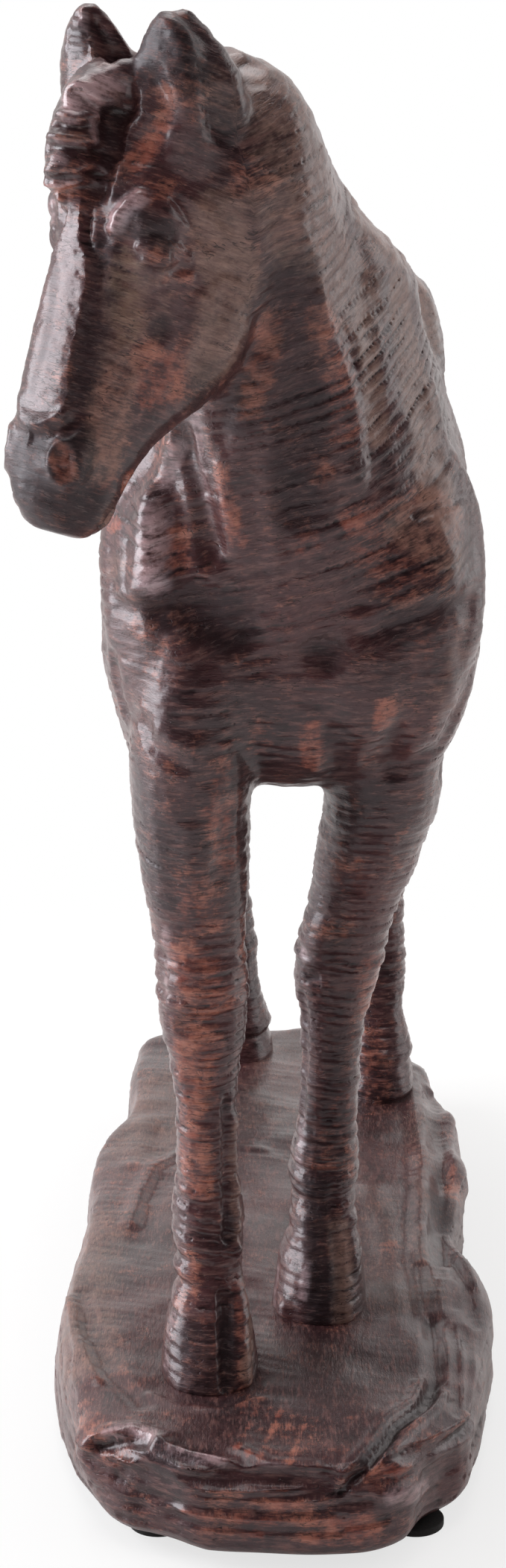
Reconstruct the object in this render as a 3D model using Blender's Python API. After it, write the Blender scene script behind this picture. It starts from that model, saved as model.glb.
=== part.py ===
"""Standing horse ornament in cast resin on a rock base, about 30 cm high.

The figure is shaped as one body and then parted where its castings meet: torso, neck with
head, four legs and a tail. A bent wire runs down each leg into the base, dowels hold the neck
and the tail, and foam pads carry the base.

Metres, +Z up. The horse faces -Y and its left side is +X. The tables hold millimetres at the
drawn sizes, and the functions that read them follow a change of any size named at the top.
"""

import math

import bmesh
import bpy
from mathutils import Matrix, Vector

MM = 0.001
ACROSS = Vector((1, 0, 0))
BACK = Vector((0, 1, 0))
UP = Vector((0, 0, 1))

# Trunk and legs
BODY_LENGTH = 0.224
BODY_DEPTH = 0.105
BODY_WIDTH = 0.080
LEG_HEIGHT = 0.116
CANNON_WIDTH = 0.0138
HOOF_LENGTH = 0.028
HOOF_WIDTH = 0.0208
TAIL_LENGTH = 0.112
TAIL_WIDTH = 0.023

# Neck and head
NECK_LENGTH = 0.092
NECK_WIDTH = 0.045
HEAD_LENGTH = 0.0853
HEAD_WIDTH = 0.0325
HEAD_DEPTH = 0.046
HEAD_TURN = math.radians(46)
HEAD_NOD = math.radians(17)
HEAD_TILT = math.radians(5)
EAR_LENGTH = 0.0215
EAR_WIDTH = 0.0175
EAR_SPACING = 0.0215
EAR_LEAN = math.radians(32)

# Base and its pads
BASE_HEIGHT = 0.0212
FRONT_MARGIN = 0.0335
BACK_MARGIN = 0.011
LEFT_MARGIN = 0.0115
RIGHT_MARGIN = 0.0247
PAD_HEIGHT = 0.0015
PAD_RADIUS = 0.006
PAD_INSET = 0.022

# Joints between the castings
SEAM_GAP = 0.0003
HOOF_SEAT = 0.0015
WIRE_RADIUS = 0.0015
WIRE_IN_BASE = 0.012
WIRE_IN_TORSO = 0.020
DOWEL_RADIUS = 0.004
DOWEL_LENGTH = 0.040
TAIL_PIN_RADIUS = 0.001
TAIL_PIN_LENGTH = 0.016

# The sizes, in millimetres, at which the tables below are drawn
DRAWN_TRUNK = (80, 224, 105)
DRAWN_NECK_LENGTH = 92
DRAWN_NECK_WIDTH = 45
DRAWN_HEAD_LENGTH = 86
DRAWN_HEAD_WIDTH = 32.5
DRAWN_HEAD_DEPTH = 46
DRAWN_LEG_HEIGHT = 116
DRAWN_CANNON_WIDTH = 13.8
DRAWN_HOOF_LENGTH = 28
DRAWN_HOOF_WIDTH = 20.8
DRAWN_BASE_HEIGHT = 21.2

# Working fineness
VOXEL = 0.0014
FIGURE_SHARE = 0.047
FIGURE_ROUNDS = 5
ROCK_VOXEL = 0.0024
ROCK_SHARE = 0.085
ROCK_ROUNDS = 1
RING_SIDES = 20
STEPS_BETWEEN = 3
WIRE_SIDES = 8
DOWEL_SIDES = 16
PAD_SIDES = 20
SHARP_ANGLE = math.radians(40)

# Trunk: along its length, top and bottom above the leg seam, half width.
TRUNK = (
    (-92, 72, 28, 17),
    (-86, 86, 12, 29),
    (-72, 98, 3.5, 36),
    (-46, 108, 2.5, 38.5),
    (-20, 104, 3, 39.5),
    (10, 99, 6, 40),
    (40, 101, 11, 40),
    (70, 108, 17, 40.5),
    (95, 109, 24, 41.5),
    (114, 97, 36, 34),
    (128, 77, 52, 17),
)

# Neck: crest and underline from the neck's root, each across, along and up, then half width.
NECK = (
    ((0, 27, 37), (0, -27, -37), 33),
    ((-1, 15, 47), (-2, -30, -19), 29.5),
    ((-4, 3, 58), (-5, -33, -3), 24),
    ((-8, -10, 69), (-9, -35, 11), 20),
    ((-11, -23, 78), (-14, -38, 25), 21.4),
    ((-14, -33, 81), (-20, -41, 37), 22),
    ((-20, -40, 78), (-27, -44, 48), 18),
)
NECK_ROOT = (0, -65, 70)
POLL = (-20.9, -42, 74)

# Head: down the face from the poll, front line and half depth, half width.
HEAD = (
    (-5, 6, 6, 8),
    (0, 10, 13, 13),
    (8, 13.5, 18, 15),
    (18, 15.2, 21.5, 15.6),
    (28, 15.6, 23, 15),
    (38, 15.4, 23, 13.6),
    (47, 15.3, 21.6, 13.0),
    (54, 15.2, 19.2, 12.5),
    (60, 14.9, 15.9, 12.0),
    (66, 14.2, 12.9, 11.4),
    (73, 13, 11, 10.4),
    (80, 11, 9.2, 9),
    (85, 6.5, 5.6, 5.6),
)

# Rounded forms on the head: down the face, out of it and aside, then the radii across, out of
# and down the face. The first lie on both sides: cheek, brow, eye and nostril.
PAIRED_LUMPS = (
    (35, -13, 8.6, (6.8, 14, 17)),
    (26, 8, 12, (4.2, 6, 4.6)),
    (32, 6.4, 12.8, (3.2, 4, 4.2)),
    (71, 7.8, 6.6, (4.4, 5, 6.4)),
)
# Forelock and chin
MIDDLE_LUMPS = (
    (14, 16.8, -4.2, (6.2, 5.4, 14)),
    (79, -3.5, 0, (7, 6, 5)),
)

# Ears: their foot down the face, out of it and how far both sit to the right, then along the ear the half width and half
# thickness, as shares of its length and width.
EAR_FOOT = (8.4, 5, 2.0)
EAR = (
    (-0.35, 0.36, 0.42),
    (0.1, 0.43, 0.44),
    (0.4, 0.5, 0.36),
    (0.72, 0.38, 0.24),
    (0.93, 0.2, 0.14),
    (1, 0.07, 0.07),
)

# Legs below the seam: share of the leg's height, ring centre to the rear of the leg's line,
# half width, half depth. Above it: height over the seam, then the same.
FORE_LOWER = (
    (-0.04, 0, 10.5, 14.1),
    (0.0, 0, 10.4, 14.0),
    (0.055, 1.7, 9.8, 12.4),
    (0.11, 3.8, 8.9, 10.4),
    (0.145, 5.4, 7.4, 8.3),
    (0.185, 7.4, 7.0, 7.9),
    (0.225, 9.9, 7.9, 9.3),
    (0.27, 10.6, 7.6, 8.7),
    (0.34, 10.2, 6.9, 7.9),
    (0.46, 10.0, 6.9, 7.9),
    (0.55, 9.6, 7.8, 8.4),
    (0.63, 8.8, 9.7, 9.7),
    (0.70, 9.0, 9.9, 9.8),
    (0.77, 9.8, 9.8, 10.3),
    (0.84, 10.6, 10.9, 12.4),
    (0.92, 11.4, 11.9, 14.8),
    (1.0, 12.0, 12.3, 17.6),
)
FORE_UPPER = ((12, 13, 13, 20), (26, 14, 12, 21), (42, 14, 9, 17))
HIND_LOWER = (
    (-0.04, 0, 10.1, 13.8),
    (0.0, 0, 10.0, 13.7),
    (0.055, 1.7, 9.5, 12.2),
    (0.11, 3.8, 8.7, 10.3),
    (0.145, 5.4, 7.3, 8.3),
    (0.185, 7.8, 7.0, 8.0),
    (0.23, 10.8, 8.0, 9.4),
    (0.28, 11.9, 7.5, 8.7),
    (0.36, 12.8, 7.0, 8.3),
    (0.48, 14.8, 7.1, 8.7),
    (0.58, 16.8, 8.1, 10.4),
    (0.66, 18.4, 9.5, 12.6),
    (0.71, 18.0, 9.3, 12.4),
    (0.78, 14.8, 9.7, 12.4),
    (0.86, 10.0, 11.2, 16.0),
    (0.94, 6.2, 13.2, 20.6),
    (1.0, 4.0, 14.6, 24.0),
)
HIND_UPPER = ((12, 3, 16.5, 27), (26, 4, 18, 29), (42, 6, 18.5, 29), (60, 8, 16, 25), (74, 8, 12, 18))

# Each leg's line: across and along at the hoof, at the knee or hock, and at the seam.
LEG_LINES = {
    "fore_leg_right": ((-17, -90), (-18.4, -88), (-20.6, -90)),
    "fore_leg_left": ((6.4, -57), (10.2, -60), (19.2, -74)),
    "hind_leg_right": ((-12, 108), (-18.5, 112), (-24, 92)),
    "hind_leg_left": ((25.2, 79), (26, 82), (25, 85)),
}
LEG_SQUARENESS = 2.15
KNEE_SHARE = 0.66
PASTERN_SHARE = 0.16
HOOF_BLEND = 0.06

# The tail's root in the rump, along and over the seam, and its thickness to its width.
TAIL_ROOT = (120, 84)
TAIL_FLATNESS = 0.6

# Rounded muscle: centre across, along and over the seam, then its three radii.
MUSCLES = (
    (24, -65, 42, 15.5, 27, 38),
    (-24, -65, 41, 15.7, 27, 39),
    (13, -82, 34, 13, 12, 21),
    (-13, -82, 34, 13, 12, 21),
    (21, 88, 74, 20, 34, 30),
    (-21, 88, 74, 20, 34, 30),
    (18, 104, 50, 13, 23, 30),
    (-18, 104, 50, 13, 23, 30),
    (0, -45, 96, 12, 26, 13),
)

# Outline of the rock base seen from above, as shares of its width and length, and its ledges.
OUTLINE = (
    (0.29, 0.006),
    (0.5, 0.0),
    (0.71, 0.005),
    (0.81, 0.046),
    (0.885, 0.085),
    (0.932, 0.139),
    (0.965, 0.217),
    (1.0, 0.296),
    (0.985, 0.36),
    (0.94, 0.424),
    (0.952, 0.473),
    (0.977, 0.549),
    (0.995, 0.636),
    (0.99, 0.75),
    (0.957, 0.824),
    (0.905, 0.888),
    (0.88, 0.95),
    (0.80, 0.988),
    (0.5, 1.0),
    (0.24, 0.995),
    (0.13, 0.96),
    (0.10, 0.888),
    (0.10, 0.824),
    (0.098, 0.745),
    (0.045, 0.70),
    (0.02, 0.636),
    (0.028, 0.549),
    (0.018, 0.424),
    (0.0, 0.296),
    (0.02, 0.217),
    (0.052, 0.137),
    (0.09, 0.093),
    (0.165, 0.049),
)

# Strata of the base's wall: level as a share of its height, and how far it steps in.
STRATA = (
    (-1.0, 1.6),
    (-0.93, 0.2),
    (-0.7, 0.0),
    (-0.55, 1.3),
    (-0.42, 0.9),
    (-0.25, 0.1),
    (-0.12, 0.9),
    (-0.03, 2.4),
    (0.0, 4.6),
)

# Boulders along the base's edge: shares of its width and length, then millimetres from the
# ground to their middles, and their three radii.
ROCKS = (
    (0.925, 0.34, -7, 6.5, 22, 9.5),
    (0.945, 0.60, -5, 5.5, 15, 8),
    (0.95, 0.73, -6, 5, 11, 8.4),
    (0.90, 0.86, -6, 5, 12, 7.6),
    (0.80, 0.17, -11, 12, 15, 8.5),
    (0.20, 0.085, -6.5, 15, 7, 7.4),
    (0.065, 0.58, -8.5, 4.5, 22, 8.6),
    (0.055, 0.31, -9, 4.5, 20, 8.4),
    (0.19, 0.945, -6, 8.5, 9, 8.6),
    (0.60, 0.968, -6, 13, 7, 8.2),
)


def trunk_scale():
    """Metres for each drawn millimetre of the trunk: across, along and up."""
    return [size / drawn for size, drawn in zip((BODY_WIDTH, BODY_LENGTH, BODY_DEPTH), DRAWN_TRUNK)]


def body(across, along, up):
    """A point of the trunk, from drawn millimetres."""
    wide, long, high = trunk_scale()
    return Vector((across * wide, along * long, LEG_HEIGHT + up * high))


def root_point(drawn):
    """A point of the neck, from drawn millimetres about the neck's root."""
    return body(*NECK_ROOT) + Vector(drawn) * (NECK_LENGTH / DRAWN_NECK_LENGTH)


def through(rows, steps=STEPS_BETWEEN):
    """The rows with steps between them, along a smooth curve through them."""
    rows = [Vector(row) for row in rows]
    made = []
    for i in range(len(rows) - 1):
        a, b, c, d = rows[max(i - 1, 0)], rows[i], rows[i + 1], rows[min(i + 2, len(rows) - 1)]
        for step in range(steps):
            t = step / steps
            bend = (-a + 3 * b - 3 * c + d) * t**3 + (2 * a - 5 * b + 4 * c - d) * t**2
            made.append((bend + (c - a) * t) / 2 + b)
    made.append(rows[-1])
    return made


def ring(centre, side, front, half_side, half_front, power=2.2, back_power=None):
    """Points of an oval with somewhat squared shoulders, which may differ at the back."""
    points = []
    squared = power
    for i in range(RING_SIDES):
        turn = 2 * math.pi * i / RING_SIDES
        u, v = math.cos(turn), math.sin(turn)
        power = back_power if back_power and v < 0 else squared
        u = math.copysign(abs(u) ** (2 / power), u)
        v = math.copysign(abs(v) ** (2 / power), v)
        points.append(centre + side * (half_side * u) + front * (half_front * v))
    return points


def add_loft(mesh, rings):
    """A closed skin over the rings."""
    loops = [[mesh.verts.new(point) for point in points] for points in rings]
    count = len(rings[0])
    for low, high in zip(loops, loops[1:]):
        for i in range(count):
            j = (i + 1) % count
            mesh.faces.new((low[i], low[j], high[j], high[i]))
    mesh.faces.new(list(reversed(loops[0])))
    mesh.faces.new(loops[-1])


def add_egg(mesh, centre, radii, turn=None):
    """An ellipsoid. Its radii lie along X, Y and Z before the turn."""
    made = bmesh.ops.create_icosphere(mesh, subdivisions=3, radius=1)
    place = Matrix.Translation(centre) @ (turn or Matrix()).to_4x4() @ Matrix.Diagonal((*radii, 1))
    bmesh.ops.transform(mesh, matrix=place, verts=made["verts"])


def object_of(name, mesh):
    """An object that holds the mesh, with its faces turned outwards."""
    bmesh.ops.recalc_face_normals(mesh, faces=mesh.faces)
    data = bpy.data.meshes.new(name)
    mesh.to_mesh(data)
    mesh.free()
    made = bpy.data.objects.new(name, data)
    bpy.context.scene.collection.objects.link(made)
    return made


def evaluated(source):
    """The object's mesh with its modifiers applied, as a bmesh. The object itself goes."""
    bpy.context.view_layer.update()
    graph = bpy.context.evaluated_depsgraph_get()
    data = bpy.data.meshes.new_from_object(source.evaluated_get(graph))
    mesh = bmesh.new()
    mesh.from_mesh(data)
    bpy.data.objects.remove(source)
    bpy.data.meshes.remove(data)
    return mesh


def melted(mesh, voxel, rounds, share):
    """Overlapping closed shapes as one even skin, thinned to the share of its faces."""
    source = object_of("melting", mesh)
    remesh = source.modifiers.new("Remesh", "REMESH")
    remesh.mode = "VOXEL"
    remesh.voxel_size = voxel
    relax = source.modifiers.new("Smooth", "SMOOTH")
    relax.factor = 0.5
    relax.iterations = rounds
    thin = source.modifiers.new("Decimate", "DECIMATE")
    thin.ratio = share
    return evaluated(source)


def cut(mesh, point, normal):
    """What lies on the normal's side of a plane, closed there."""
    kept = mesh.copy()
    around = kept.verts[:] + kept.edges[:] + kept.faces[:]
    bmesh.ops.bisect_plane(
        kept, geom=around, dist=1e-7, plane_co=point, plane_no=normal, clear_inner=True
    )
    open_edges = [edge for edge in kept.edges if edge.is_boundary]
    bmesh.ops.holes_fill(kept, edges=open_edges, sides=0)
    bmesh.ops.triangulate(kept, faces=[face for face in kept.faces if len(face.verts) > 3])
    return kept


def loose_bodies(mesh):
    """Each connected body of the mesh as a bmesh of its own, largest first."""
    found = []
    left = set(mesh.verts)
    while left:
        body_verts = set()
        edge_of = [left.pop()]
        while edge_of:
            vert = edge_of.pop()
            body_verts.add(vert)
            for edge in vert.link_edges:
                other = edge.other_vert(vert)
                if other in left:
                    left.remove(other)
                    edge_of.append(other)
        found.append(body_verts)
    found.sort(key=len, reverse=True)
    bodies = []
    for verts in found:
        indices = {vert.index for vert in verts}
        single = mesh.copy()
        single.verts.ensure_lookup_table()
        others = [vert for vert in single.verts if vert.index not in indices]
        bmesh.ops.delete(single, geom=others, context="VERTS")
        bodies.append(single)
    return bodies


def middle_of(mesh):
    return sum((vert.co for vert in mesh.verts), Vector()) / len(mesh.verts)


def leg_rings(name):
    """The leg's ring rows: centre, half width and half depth, from below the sole to the trunk."""
    hoof, knee, top = (Vector(point) for point in LEG_LINES[name])
    lower, upper = (FORE_LOWER, FORE_UPPER) if "fore" in name else (HIND_LOWER, HIND_UPPER)
    girth = CANNON_WIDTH / DRAWN_CANNON_WIDTH
    hoof_wide, hoof_deep = HOOF_WIDTH / DRAWN_HOOF_WIDTH, HOOF_LENGTH / DRAWN_HOOF_LENGTH
    tall = LEG_HEIGHT / DRAWN_LEG_HEIGHT
    rows = []
    for share, back, half_width, half_depth in lower:
        if share < KNEE_SHARE:
            line = hoof.lerp(knee, max(share, 0) / KNEE_SHARE)
        else:
            line = knee.lerp(top, (share - KNEE_SHARE) / (1 - KNEE_SHARE))
        place = body(line.x, line.y, 0)
        hoof_part = max(0, min(1, (PASTERN_SHARE - share) / HOOF_BLEND))
        wide = half_width * (hoof_wide * hoof_part + girth * (1 - hoof_part))
        deep = half_depth * (hoof_deep * hoof_part + girth * (1 - hoof_part))
        rows.append((place.x, place.y + back * tall, share * LEG_HEIGHT, wide, deep))
    for up, back, half_width, half_depth in upper:
        place = body(top.x, top.y, up)
        rows.append((place.x, place.y + back * tall, place.z, half_width * girth, half_depth * girth))
    return rows


def head_frame():
    """The poll, and the directions down the face, out of it and to its side."""
    level = Vector((-math.sin(HEAD_TURN), -math.cos(HEAD_TURN), 0))
    side = Vector((math.cos(HEAD_TURN), -math.sin(HEAD_TURN), 0))
    down = level * math.sin(HEAD_NOD) - UP * math.cos(HEAD_NOD)
    front = level * math.cos(HEAD_NOD) + UP * math.sin(HEAD_NOD)
    tilt = Matrix.Rotation(-HEAD_TILT, 3, front)
    return root_point(POLL), tilt @ down, front, tilt @ side


def shape_trunk(mesh):
    wide, long, high = trunk_scale()
    rings = []
    for along, top, bottom, half in through(TRUNK):
        centre = body(0, along, (top + bottom) / 2)
        rings.append(ring(centre, ACROSS, UP, half * wide, (top - bottom) / 2 * high, 1.95, 2.6))
    add_loft(mesh, rings)
    for across, along, up, *radii in MUSCLES:
        add_egg(mesh, body(across, along, up), [r * s for r, s in zip(radii, (wide, long, high))])


def shape_neck(mesh):
    wide = NECK_WIDTH / DRAWN_NECK_WIDTH
    rows = through([(*crest, *under, half) for crest, under, half in NECK])
    rings = []
    for i, row in enumerate(rows):
        crest, under = root_point(row[:3]), root_point(row[3:6])
        front = (crest - under).normalized()
        turned = HEAD_TURN * i / (len(rows) - 1)
        side = Vector((math.cos(turned), -math.sin(turned), 0))
        side = (side - front * side.dot(front)).normalized()
        deep = (crest - under).length / 2
        rings.append(ring((crest + under) / 2, side, front, row[6] * wide, deep, 2.2))
    add_loft(mesh, rings)


def shape_head(mesh):
    poll, down, front, side = head_frame()
    long = HEAD_LENGTH / DRAWN_HEAD_LENGTH
    wide = HEAD_WIDTH / DRAWN_HEAD_WIDTH
    deep = HEAD_DEPTH / DRAWN_HEAD_DEPTH
    rings = []
    for along, line, half_depth, half_width in through(HEAD):
        centre = poll + down * (along * long) + front * ((line - half_depth) * deep)
        rings.append(ring(centre, side, front, half_width * wide, half_depth * deep, 2.3))
    add_loft(mesh, rings)
    turn = Matrix((side, front, -down)).transposed()

    def lump(along, out, aside, radii):
        centre = poll + down * (along * long) + front * (out * deep) + side * (aside * wide)
        add_egg(mesh, centre, [r * s for r, s in zip(radii, (wide, deep, long))], turn)

    for hand in (-1, 1):
        for along, out, aside, radii in PAIRED_LUMPS:
            lump(along, out, hand * aside, radii)
        along, out, aside = EAR_FOOT
        foot = poll + down * (along * long) + front * (out * deep)
        foot += side * (hand * EAR_SPACING / 2 - aside * wide)
        lean = -down * math.cos(EAR_LEAN) + front * math.sin(EAR_LEAN)
        flat = (front + down * math.tan(EAR_LEAN)).normalized()
        rings = []
        for share, half, thick in through(EAR):
            centre = foot + lean * (share * EAR_LENGTH)
            rings.append(ring(centre, side, flat, half * EAR_WIDTH, thick * EAR_WIDTH, 2))
        add_loft(mesh, rings)
    for along, out, aside, radii in MIDDLE_LUMPS:
        lump(along, out, aside, radii)


def shape_leg(mesh, name):
    rings = []
    for x, y, z, wide, deep in through(leg_rings(name)):
        rings.append(ring(Vector((x, y, z)), ACROSS, BACK, wide, deep, LEG_SQUARENESS))
    add_loft(mesh, rings)


def rump():
    """The point behind the rump where the tail is glued on."""
    return body(0, TAIL_ROOT[0] + 12, TAIL_ROOT[1])


def tail_line():
    """Centres down the tail, from inside the rump."""
    root = body(0, *TAIL_ROOT)
    back = rump().y + TAIL_WIDTH * 0.56
    bend = Vector((0, back, root.z - TAIL_WIDTH * 0.9))
    tip = Vector((0, back + TAIL_WIDTH * 0.1, root.z - TAIL_LENGTH))
    crown = (root + bend) / 2 + UP * (TAIL_WIDTH * 0.35)
    return through([tuple(point) for point in (root, crown, bend, bend.lerp(tip, 0.5), tip)])


def shape_tail(mesh):
    centres = tail_line()
    rings = []
    for i, centre in enumerate(centres):
        ahead = (centres[min(i + 1, len(centres) - 1)] - centres[max(i - 1, 0)]).normalized()
        share = i / (len(centres) - 1)
        half = TAIL_WIDTH / 2 * (0.5 + 0.62 * math.sin(math.pi * share**0.8) - 0.3 * share**5)
        rings.append(ring(centre, ACROSS, ahead.cross(ACROSS), half, half * TAIL_FLATNESS, 2))
    add_loft(mesh, rings)


def stance():
    """The least and greatest across and along of the hoof soles."""
    soles = [leg_rings(name)[1] for name in LEG_LINES]
    left = max(x + wide for x, y, z, wide, deep in soles)
    right = min(x - wide for x, y, z, wide, deep in soles)
    front = min(y - deep for x, y, z, wide, deep in soles)
    back = max(y + deep for x, y, z, wide, deep in soles)
    return right - RIGHT_MARGIN, left + LEFT_MARGIN, front - FRONT_MARGIN, back + BACK_MARGIN


def shape_base(mesh):
    """The rock slab: strata that step in and out, a ledge at the front and a ridge on the left."""
    low_x, high_x, low_y, high_y = stance()
    wide, long = high_x - low_x, high_y - low_y
    outline = [
        Vector((low_x + x * wide, low_y + y * long)) for x, y in through(OUTLINE + OUTLINE[:1], 2)[:-1]
    ]
    middle = Vector(((low_x + high_x) / 2, (low_y + high_y) / 2))
    high = BASE_HEIGHT / DRAWN_BASE_HEIGHT
    rings = []
    for level, inset in STRATA:
        points = []
        for i, point in enumerate(outline):
            out = (point - middle).normalized()
            wander = 0.9 * math.sin(i * 0.83 + level * 7.0) + 0.6 * math.sin(i * 1.9 - level * 11.0)
            wander = max(0, wander) if level > -1 else 0
            side = point - out * ((inset + wander) * high)
            points.append(Vector((side.x, side.y, level * BASE_HEIGHT)))
        rings.append(points)
    add_loft(mesh, rings)
    for x, y, level, half_x, half_y, half_z in ROCKS:
        place = Vector((low_x + x * wide, low_y + y * long, level * high))
        add_egg(mesh, place, (half_x * high, half_y * high, half_z * high))


def bar(name, centres, radius, sides=WIRE_SIDES):
    """A round bar along the centres, with flat ends."""
    mesh = bmesh.new()
    rings = []
    for i, centre in enumerate(centres):
        ahead = (centres[min(i + 1, len(centres) - 1)] - centres[max(i - 1, 0)]).normalized()
        side = ACROSS if abs(ahead.x) < 0.8 else BACK
        side = (side - ahead * side.dot(ahead)).normalized()
        front = ahead.cross(side)
        points = []
        for k in range(sides):
            turn = 2 * math.pi * k / sides
            points.append(centre + side * (radius * math.cos(turn)) + front * (radius * math.sin(turn)))
        rings.append(points)
    add_loft(mesh, rings)
    return object_of(name, mesh)


def lengthened(centres):
    """The centres with both ends a seam's gap further out."""
    first = (centres[0] - centres[1]).normalized() * SEAM_GAP
    last = (centres[-1] - centres[-2]).normalized() * SEAM_GAP
    return [centres[0] + first, *centres[1:-1], centres[-1] + last]


def cut_by(piece, cutters):
    """Takes each cutter out of the piece, and keeps the cutter out of the picture."""
    for cutter in cutters:
        cutter.hide_render = True
        cutter.display_type = "WIRE"
        drill = piece.modifiers.new("Bore", "BOOLEAN")
        drill.operation = "DIFFERENCE"
        drill.object = cutter


def material(name, colour, roughness, metallic=0.0):
    made = bpy.data.materials.new(name)
    made.use_nodes = True
    shader = made.node_tree.nodes["Principled BSDF"]
    shader.inputs["Base Color"].default_value = (*colour, 1)
    shader.inputs["Roughness"].default_value = roughness
    shader.inputs["Metallic"].default_value = metallic
    return made


def part_of(objects_mesh, point, normal):
    """The largest body on the normal's side of a seam, half the seam's gap away from it."""
    return loose_bodies(cut(objects_mesh, point + normal * (SEAM_GAP / 2), normal))[0]


def neck_joint():
    """The middle of the seam between neck and torso, and the direction across it."""
    crest, under = root_point(NECK[1][0]), root_point(NECK[1][1])
    slope = Vector((0, crest.y - under.y, crest.z - under.z)).normalized()
    return Vector((0, (crest.y + under.y) / 2, (crest.z + under.z) / 2)), Vector((0, -slope.z, slope.y))


def cast_figure():
    """The castings of the horse by name, parted where they meet."""
    shape = bmesh.new()
    shape_trunk(shape)
    shape_neck(shape)
    shape_head(shape)
    shape_tail(shape)
    for name in LEG_LINES:
        shape_leg(shape, name)
    figure = cut(melted(shape, VOXEL, FIGURE_ROUNDS, FIGURE_SHARE), -UP * HOOF_SEAT, UP)

    pieces = {}
    seam = UP * LEG_HEIGHT
    for leg in loose_bodies(cut(figure, seam - UP * (SEAM_GAP / 2), -UP))[: len(LEG_LINES)]:
        centre = middle_of(leg)
        name = min(LEG_LINES, key=lambda n: (body(*LEG_LINES[n][1], 0).xy - centre.xy).length)
        pieces[name] = object_of(name + "_casting", leg)
    upper = cut(figure, seam + UP * (SEAM_GAP / 2), UP)
    pieces["tail"] = object_of("tail_casting", part_of(upper, rump(), BACK))
    rest = part_of(upper, rump(), -BACK)
    joint, rise = neck_joint()
    pieces["neck"] = object_of("neck_and_head_casting", part_of(rest, joint, rise))
    pieces["torso"] = object_of("torso_casting", part_of(rest, joint, -rise))
    return pieces


def cast_base():
    """The rock base, and the cutters of the pockets that the hooves stand in."""
    shape = bmesh.new()
    shape_base(shape)
    rock = cut(melted(shape, ROCK_VOXEL, ROCK_ROUNDS, ROCK_SHARE), -UP * BASE_HEIGHT, UP)
    seats = []
    for name in LEG_LINES:
        x, y, z, wide, deep = leg_rings(name)[1]
        clear = SEAM_GAP * 2
        rings = []
        for level in (-HOOF_SEAT - SEAM_GAP, LEG_HEIGHT * 0.08):
            rings.append(ring(Vector((x, y, level)), ACROSS, BACK, wide + clear, deep + clear, LEG_SQUARENESS))
        shape = bmesh.new()
        add_loft(shape, rings)
        seats.append(object_of("seat_" + name, shape))
    return object_of("base_casting", rock), seats


def bend_wires():
    """The wire down each leg, and its bore, by the leg's name."""
    wires, bores = {}, {}
    for name in LEG_LINES:
        inside = [Vector(row[:3]) for row in leg_rings(name) if row[2] > 0.02 * LEG_HEIGHT]
        foot = Vector((inside[0].x, inside[0].y, -HOOF_SEAT - WIRE_IN_BASE))
        sole = Vector((inside[0].x, inside[0].y, 0))
        top = Vector((inside[-1].x, inside[-1].y, LEG_HEIGHT + WIRE_IN_TORSO))
        path = through([foot, sole] + [point for point in inside if point.z < 0.97 * LEG_HEIGHT] + [top], 1)
        wires[name] = bar(name + "_wire", path, WIRE_RADIUS)
        bores[name] = bar("bore_" + name, lengthened(path), WIRE_RADIUS + SEAM_GAP)
    return wires, bores


def turn_dowel():
    """The dowel between neck and torso, and its bore."""
    joint, rise = neck_joint()
    ends = [joint - rise * (DOWEL_LENGTH / 2), joint + rise * (DOWEL_LENGTH / 2)]
    dowel = bar("neck_dowel", ends, DOWEL_RADIUS, DOWEL_SIDES)
    return dowel, bar("bore_neck", lengthened(ends), DOWEL_RADIUS + SEAM_GAP, DOWEL_SIDES)


def cut_tail_pin():
    """The pin between tail and torso, and its bore."""
    crossing = min(tail_line(), key=lambda point: abs(point.y - rump().y))
    middle = Vector((crossing.x, rump().y, crossing.z))
    ends = [middle - BACK * (0.7 * TAIL_PIN_LENGTH), middle + BACK * (0.3 * TAIL_PIN_LENGTH)]
    return bar("tail_pin", ends, TAIL_PIN_RADIUS), bar("bore_tail", lengthened(ends), TAIL_PIN_RADIUS + SEAM_GAP)


def cut_pads():
    """The foam pads near the corners of the base's underside."""
    low_x, high_x, low_y, high_y = stance()
    pads = []
    for label, x, y in (
        ("front_right", low_x + PAD_INSET + PAD_RADIUS / 2, low_y + PAD_INSET),
        ("front_left", high_x - PAD_INSET, low_y + PAD_INSET),
        ("back_right", low_x + PAD_INSET, high_y - PAD_INSET),
        ("back_left", high_x - PAD_INSET, high_y - PAD_INSET),
    ):
        top = Vector((x, y, -BASE_HEIGHT - SEAM_GAP))
        pads.append(bar("foot_pad_" + label, [top - UP * PAD_HEIGHT, top], PAD_RADIUS, PAD_SIDES))
    return pads


def stand_on(stand, piece):
    """The piece's origin at its own middle, and the piece held by the stand."""
    centre = middle_of_box(piece.data.vertices)
    piece.data.transform(Matrix.Translation(-centre))
    piece.location = centre
    piece.parent = stand
    piece.data.shade_smooth()
    piece.data.set_sharp_from_angle(angle=SHARP_ANGLE)


def box_of(verts):
    low, high = Vector((9, 9, 9)), Vector((-9, -9, -9))
    for vert in verts:
        low = Vector(map(min, low, vert.co))
        high = Vector(map(max, high, vert.co))
    return low, high


def middle_of_box(verts):
    low, high = box_of(verts)
    return (low + high) / 2


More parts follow.
